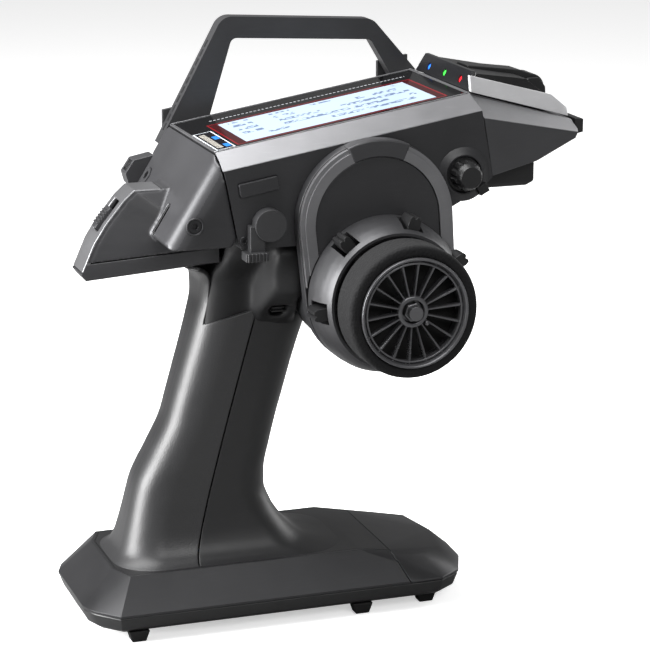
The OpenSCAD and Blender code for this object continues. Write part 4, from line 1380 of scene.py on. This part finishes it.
    def _stitch(self, bm: bmesh.types.BMesh, a: list, b: list) -> None:
        """Joins a short column to a tall one, up to the short one's top."""
        short, tall = (a, b) if a[-1].co.z < b[-1].co.z else (b, a)
        reach = max(j for j in range(self.rows) if tall[j].co.z <= short[-1].co.z)
        for j in range(self.rows - 1):
            low, high = round(j * reach / (self.rows - 1)), round(
                (j + 1) * reach / (self.rows - 1)
            )
            above = [tall[high]] if high > low else []
            corners = [short[j], tall[low], *above, short[j + 1]]
            if short is b:
                corners.reverse()
            bm.faces.new(corners)

    def _neck(self, shop: Workshop) -> None:
        """Neck between the grip, the head and the steering drum, recessed behind the skins; its
        duller finish paints in the shade that falls on it.
        """
        parts = []
        for node in ("grip_front", "rubber_grip"):
            bm = node_bmesh(node)
            cut = at_mm(0.0, 0.0, self.neck_foot)
            geometry = [*bm.verts, *bm.edges, *bm.faces]
            bmesh.ops.bisect_plane(
                bm, geom=geometry, plane_co=cut, plane_no=(0, 0, -1), clear_outer=True
            )
            bmesh.ops.holes_fill(bm, edges=[e for e in bm.edges if e.is_boundary])
            parts.append(bm)
        neck = blended(parts, 0.9, self.neck_passes)
        for vertex in neck.vertices:
            x, y, z = vertex.co / MM - ORIGIN_SHIFT
            drum = smooth_step(-34.0, -24.0, x) * smooth_step(122.0, 132.0, z)
            rear = 1.0 - smooth_step(-52.0, -42.0, x)
            tuck = (1.0 - drum) * (1.0 - (1.0 - rear) * smooth_step(150.0, 162.0, z))
            x += tuck * self.neck_tuck * (-33.0 - x) / 25.0
            y *= 1.0 - tuck * self.neck_tuck / 19.0
            z += 3.0 * smooth_step(158.0, 165.0, z) * smooth_step(-60.0, -50.0, x)
            vertex.co = at_mm(x, y, z)
        # The neck's finish is painted shade: a less reflective copy of the grip plastic.
        shop.place("grip_neck", neck, "housing", [Palette.NECK_PAINTED_SHADE], ["grip_front"], smooth_angle=70.0)


@dataclass
class SteeringWheel:
    """Foam-covered steering wheel with a spoked rim, its nut and its shaft."""

    foam_r: float = 27.2
    rim_r: float = 22.6
    front_y: float = -87.5
    depth: float = 18.5
    spokes: int = 18
    first_spoke: float = 0.09
    hub_r: float = 6.6
    body: str = "steering_wheel"

    def build(self, shop: Workshop, repeats: Repeats) -> None:
        """Builds the wheel's pieces."""
        self._foam(shop)
        self._rim(shop)
        self._spokes(shop, repeats)
        self._nut(shop)
        SoftEdged("steering_shaft", self.body, Palette.NUT, 0.35, 2).build(shop)

    def _foam(self, shop: Workshop) -> None:
        """Foam ring, softly rounded at its rims."""
        inner = self.rim_r - 0.55
        ring = rounded(
            [
                (inner, 1.5), (self.foam_r, 1.5), (self.foam_r, self.depth - 0.1),
                (inner, self.depth - 0.1),
            ],
            3.2, 8,
        )
        foam = shop.place(
            "wheel_foam_ring", mesh_of(lathe(ring, WHEEL_AXIS, self.front_y, 160)), self.body,
            [Palette.FOAM], ["wheel_foam"], 60.0,
        )

    def _rim(self, shop: Workshop) -> None:
        """Rim with a double edge, a dark back and a recessed hub."""
        r = self.rim_r
        edge = rounded(
            [
                (r - 1.1, 0.3), (r - 0.15, 0.0), (r, 0.6), (r, 1.6), (r - 0.7, 2.2),
                (r - 0.7, 18.2), (r - 1.9, 18.2), (r - 1.9, 2.6),
            ],
            0.3, 3,
        )
        second = rounded(
            [(r - 2.9, 1.5), (r - 2.2, 1.5), (r - 1.6, 2.6), (r - 1.6, 4.4), (r - 2.9, 4.4)], 0.2,
            3,
        )
        hub = rounded(
            [
                (4.7, 2.9), (self.hub_r - 0.4, 2.9), (self.hub_r, 3.6), (self.hub_r, 11.0),
                (4.7, 11.0),
            ],
            0.35, 3,
        )
        bm = bmesh.new()
        for ring in (edge, second, hub):
            join(bm, lathe(ring, WHEEL_AXIS, self.front_y, 128))
        shop.place("wheel_rim_edge", mesh_of(bm), self.body, [Palette.RIM], ["wheel_rim"], 40.0)
        back = rounded([(3.05, 10.4), (r - 1.9, 9.6), (r - 1.9, 11.4), (3.05, 11.6)], 0.2, 2)
        shop.place(
            "wheel_back", mesh_of(lathe(back, WHEEL_AXIS, self.front_y, 96)), self.body,
            [Palette.DARK_DISC],
        )

    def _spokes(self, shop: Workshop, repeats: Repeats) -> None:
        """Thin tapering spokes, set out round the shaft by Geometry Nodes."""
        bm = bmesh.new()
        stations = [
            (self.hub_r - 0.5, 0.34, 3.2, 6.6), (13.0, 0.42, 2.7, 5.6),
            (self.rim_r - 1.3, 0.6, 1.9, 4.6),
        ]
        rings = []
        for r, half, near, far in stations:
            section = [
                (-half, near + 0.35), (-half * 0.5, near), (half * 0.5, near), (half, near + 0.35),
                (half, far), (-half, far),
            ]
            rings.append([bm.verts.new(Vector((x, y, r)) * MM) for x, y in section])
        bridge(bm, rings)
        bm.faces.new(rings[0])
        bm.faces.new(rings[-1])
        outward(bm)
        centre = at_mm(WHEEL_AXIS.x, self.front_y, WHEEL_AXIS.z)
        inputs = {
            "Count": self.spokes,
            "Centre": centre,
            "First Angle": self.first_spoke,
            "Material": shop.dress(Palette.RIM),
        }
        mesh = repeats.lay_out(repeats.ring, mesh_of(bm), inputs)
        shop.place("wheel_spokes", mesh, self.body, [Palette.RIM], smooth_angle=25.0)

    def _nut(self, shop: Workshop) -> None:
        """Hex nut on its washer, with the locking pin beside it."""
        hexagon = [
            (4.1 * math.cos(a), 4.1 * math.sin(a))
            for a in (math.pi / 3 * k + 0.2 for k in range(6))
        ]
        bm = prism(hexagon, 2.2, 7.0)
        soften_edges(bm, 0.5, 20.0)
        centre = at_mm(WHEEL_AXIS.x, self.front_y, WHEEL_AXIS.z)
        bmesh.ops.translate(bm, verts=bm.verts, vec=centre)
        washer = rounded([(3.0, 5.4), (4.55, 5.4), (4.55, 7.6), (3.0, 7.6)], 0.25, 3)
        join(bm, lathe(washer, WHEEL_AXIS, self.front_y, 64))
        pin = rounded([(0.02, 2.0), (0.9, 2.0), (0.9, 9.0), (0.02, 9.0)], 0.4, 4)
        pin_axis = WHEEL_AXIS + Vector((5.6, 0.0, -4.9))
        join(bm, lathe(pin, pin_axis, self.front_y, 24))
        shop.place("wheel_nut_set", mesh_of(bm), self.body, [Palette.NUT], ["wheel_nut"])


@dataclass
class SteeringHousing:
    """Arch plate with its silver band, the trim collar and the four trim rockers."""

    rockers: int = 4
    arch: Vector = field(default_factory=lambda: Vector((5.5, 0.0, 175.5)))
    block_from: float = 66.0
    block_to: float = 113.0
    block_inner: float = 26.6
    block_outer: float = 33.9

    def build(self, shop: Workshop) -> None:
        """Builds the housing's pieces."""
        for part in (
            SoftEdged("steering_housing", "housing", Palette.SHELL, 0.5, 3),
            SoftEdged("arch_bezel", "housing", Palette.SILVER, 0.3, 2),
            SoftEdged("trim_collar", "housing", Palette.COLLAR, 0.3, 2),
        ):
            part.build(shop)
        self._block(shop)
        for i in range(self.rockers):
            rocker = f"trim_rocker_{i + 1}"
            SoftEdged(rocker, rocker, Palette.BLACK, 0.25).build(shop)

    def _block(self, shop: Workshop) -> None:
        """Raised block that interrupts the silver band at its top."""
        angles = [
            math.radians(self.block_from + (self.block_to - self.block_from) * k / 24)
            for k in range(25)
        ]
        outline = [
            (self.block_outer * math.cos(a), self.block_outer * math.sin(a)) for a in angles
        ]
        outline += [
            (self.block_inner * math.cos(a), self.block_inner * math.sin(a))
            for a in reversed(angles)
        ]
        bm = prism(outline, FACE_Y - 0.9, FACE_Y + 6.0)
        bmesh.ops.translate(bm, verts=bm.verts, vec=at_mm(self.arch.x, 0.0, self.arch.z))
        soften_edges(bm, 0.8, 40.0)
        shop.place("arch_block", mesh_of(bm), "housing", [Palette.COLLAR], smooth_angle=40.0)


@dataclass
class Controls:
    """Buttons, lever, dial, trigger and the screws."""

    dial: Vector = field(default_factory=lambda: Vector((46.0, 0.0, 191.0)))
    surround_r: float = 11.4

    def build(self, shop: Workshop) -> None:
        """Builds the controls."""
        for part in (
            *(SoftEdged(f"sw{i}_button", f"sw{i}_button", Palette.SHELL, 0.35) for i in (1, 2, 3)),
            SoftEdged("lever", "lever", Palette.HANDLE, 0.3, 2),
            SoftEdged("dial_knob", "dial", Palette.BLACK, 0.3, 2),
            SoftEdged("trigger", "trigger", Palette.BLACK, 1.2, 3),
            SoftEdged("case_screws", "housing", Palette.SCREW, 0.15, 1),
        ):
            part.build(shop)
        self._dial_surround(shop)

    def _dial_surround(self, shop: Workshop) -> None:
        """Low cone that the dial stands in."""
        profile = rounded(
            [(7.5, -1.3), (8.3, -1.5), (self.surround_r, 0.0), (self.surround_r, 0.2), (7.5, 0.2)],
            0.5, 4,
        )
        shop.place(
            "dial_surround", mesh_of(lathe(profile, self.dial, SIDE_Y - 0.1, 96)), "housing",
            [Palette.SHELL], smooth_angle=60.0,
        )


@dataclass
class Base:
    """Weighted base: band, battery door, top cover, pan and feet."""

    def build(self, shop: Workshop) -> None:
        """Builds the base's pieces."""
        for part in (
            SoftEdged("base_band", "housing", Palette.BAND, 0.7, 3),
            SoftEdged("battery_door", "battery_door", Palette.BAND, 0.7, 3),
            SoftEdged("base_cover", "housing", Palette.GRIP, 0.3, 2),
            SoftEdged("base_pan", "housing", Palette.BLACK, 0.6, 2),
            SoftEdged("feet", "housing", Palette.FOOT, 0.5, 2),
        ):
            part.build(shop)


@dataclass
class Inside:
    """Parts that the shells hide: they keep their CAD shape and get their finish."""

    finishes: dict[str, Palette] = field(
        default_factory=lambda: {
            "main_board": Palette.BOARD,
            "radio_board": Palette.BOARD,
            "display_module": Palette.LCD,
            "battery_cells": Palette.BATTERY,
            "speaker": Palette.BLACK,
            "steering_spring": Palette.STEEL,
            "steering_sensor": Palette.SENSOR,
            "shaft_bearings": Palette.STEEL,
            "trigger_spring": Palette.STEEL,
            "trigger_sensor": Palette.SENSOR,
            "trigger_pin": Palette.STEEL,
            "trigger_bracket": Palette.BLACK,
        }
    )

    def build(self, shop: Workshop, nodes: dict[str, bpy.types.Object]) -> None:
        """Gives each inner CAD part its material.

        Args:
            shop: the workshop.
            nodes: the CAD nodes by name.
        """
        for name, finish in self.finishes.items():
            node = nodes[name]
            node.data.materials.clear()
            node.data.materials.append(shop.dress(finish))
            LOG.info("%s keeps its CAD shape in %s", name, finish.value.name)


# ---------------------------------------------------------------- studio


@dataclass
class Studio:
    """Pale floor, soft boxes and the camera."""

    target: Vector = field(default_factory=lambda: Vector((0.0028, 0.0219, 0.120)))
    back: Vector = field(default_factory=lambda: Vector((-0.3164, -0.9138, 0.2546)))
    distance: float = 1.075
    lens: float = 138.46
    boxes: tuple[tuple[str, tuple[float, float, float], tuple[float, float], float], ...] = (
        ("softbox_rear_left", (-0.85, 0.05, 0.22), (0.35, 0.8), 26.0),
        ("softbox_top", (-0.3, 0.08, 1.0), (1.0, 0.7), 20.0),
        ("softbox_front", (0.1, -1.1, 0.8), (0.7, 0.4), 6.5),
        ("softbox_right", (0.9, 0.3, 0.3), (0.4, 0.8), 5.0),
    )
    white: float = 1.0
    fill: float = 0.24
    floor_lift: float = 0.5

    def build(self) -> None:
        """Builds the studio."""
        self._camera()
        self._floor()
        self._world()
        for name, place, size, power in self.boxes:
            self._softbox(name, Vector(place), size, power)

    def _camera(self) -> None:
        """Camera at the product view's angle."""
        data = bpy.data.cameras.new("camera")
        data.lens = self.lens
        data.sensor_width = 36.0
        data.clip_start = 0.01
        camera = bpy.data.objects.new("camera", data)
        camera.location = self.target + self.back.normalized() * self.distance
        camera.rotation_euler = (-self.back).to_track_quat("-Z", "Y").to_euler()
        bpy.context.scene.collection.objects.link(camera)
        bpy.context.scene.camera = camera

    def _softbox(self, name: str, place: Vector, size: tuple[float, float], power: float) -> None:
        """One rectangular soft light that faces the object."""
        data = bpy.data.lights.new(name, "AREA")
        data.shape = "RECTANGLE"
        data.size, data.size_y = size
        data.energy = power
        light = bpy.data.objects.new(name, data)
        light.location = place
        light.rotation_euler = (self.target - place).to_track_quat("-Z", "Y").to_euler()
        bpy.context.scene.collection.objects.link(light)

    def _floor(self) -> None:
        """Plain pale floor."""
        bm = bmesh.new()
        bmesh.ops.create_grid(bm, x_segments=1, y_segments=1, size=6.0)
        floor = bpy.data.objects.new("floor", mesh_of(bm))
        bpy.context.scene.collection.objects.link(floor)
        pale = bpy.data.materials.new("pale_floor")
        pale.use_nodes = True
        pale.node_tree.nodes.clear()
        g = Graph(pale.node_tree)
        seen = g.add("ShaderNodeLightPath").outputs["Is Camera Ray"]
        shader = g.add("ShaderNodeBsdfDiffuse")
        g.feed(
            shader.inputs["Color"], g.blend(seen, (0.3, 0.3, 0.3, 1.0), (0.98, 0.98, 0.98, 1.0))
        )
        lift = g.add("ShaderNodeEmission")
        g.feed(lift.inputs["Strength"], g.math("MULTIPLY", seen, self.floor_lift))
        both = g.add("ShaderNodeAddShader")
        g.feed(both.inputs[0], shader.outputs[0])
        g.feed(both.inputs[1], lift.outputs[0])
        g.feed(g.add("ShaderNodeOutputMaterial").inputs["Surface"], both.outputs[0])
        floor.data.materials.append(pale)

    def _world(self) -> None:
        """Pale backdrop that adds only a little fill light."""
        world = bpy.data.worlds.new("studio")
        world.use_nodes = True
        g = Graph(world.node_tree)
        sky = world.node_tree.nodes["Background"]
        sky.inputs["Color"].default_value = (1.0, 1.0, 1.0, 1.0)
        seen = g.add("ShaderNodeLightPath").outputs["Is Camera Ray"]
        g.feed(
            sky.inputs["Strength"],
            g.math("ADD", g.math("MULTIPLY", seen, self.white - self.fill), self.fill),
        )
        bpy.context.scene.world = world
        bpy.context.scene.view_settings.view_transform = "Standard"


def main() -> None:
    """Builds the transmitter's looks around its CAD frame."""
    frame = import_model()
    logging.basicConfig(level=logging.INFO, format="%(name)s: %(message)s")
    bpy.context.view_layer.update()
    Studio().build()
    shop, repeats = Workshop(), Repeats()
    Head().build(shop, repeats)
    RearPod().build(shop)
    Grip().build(shop)
    SteeringHousing().build(shop)
    SteeringWheel().build(shop, repeats)
    Controls().build(shop)
    Base().build(shop)
    Inside().build(shop, frame["nodes"])


if __name__ == "__main__":
    main()
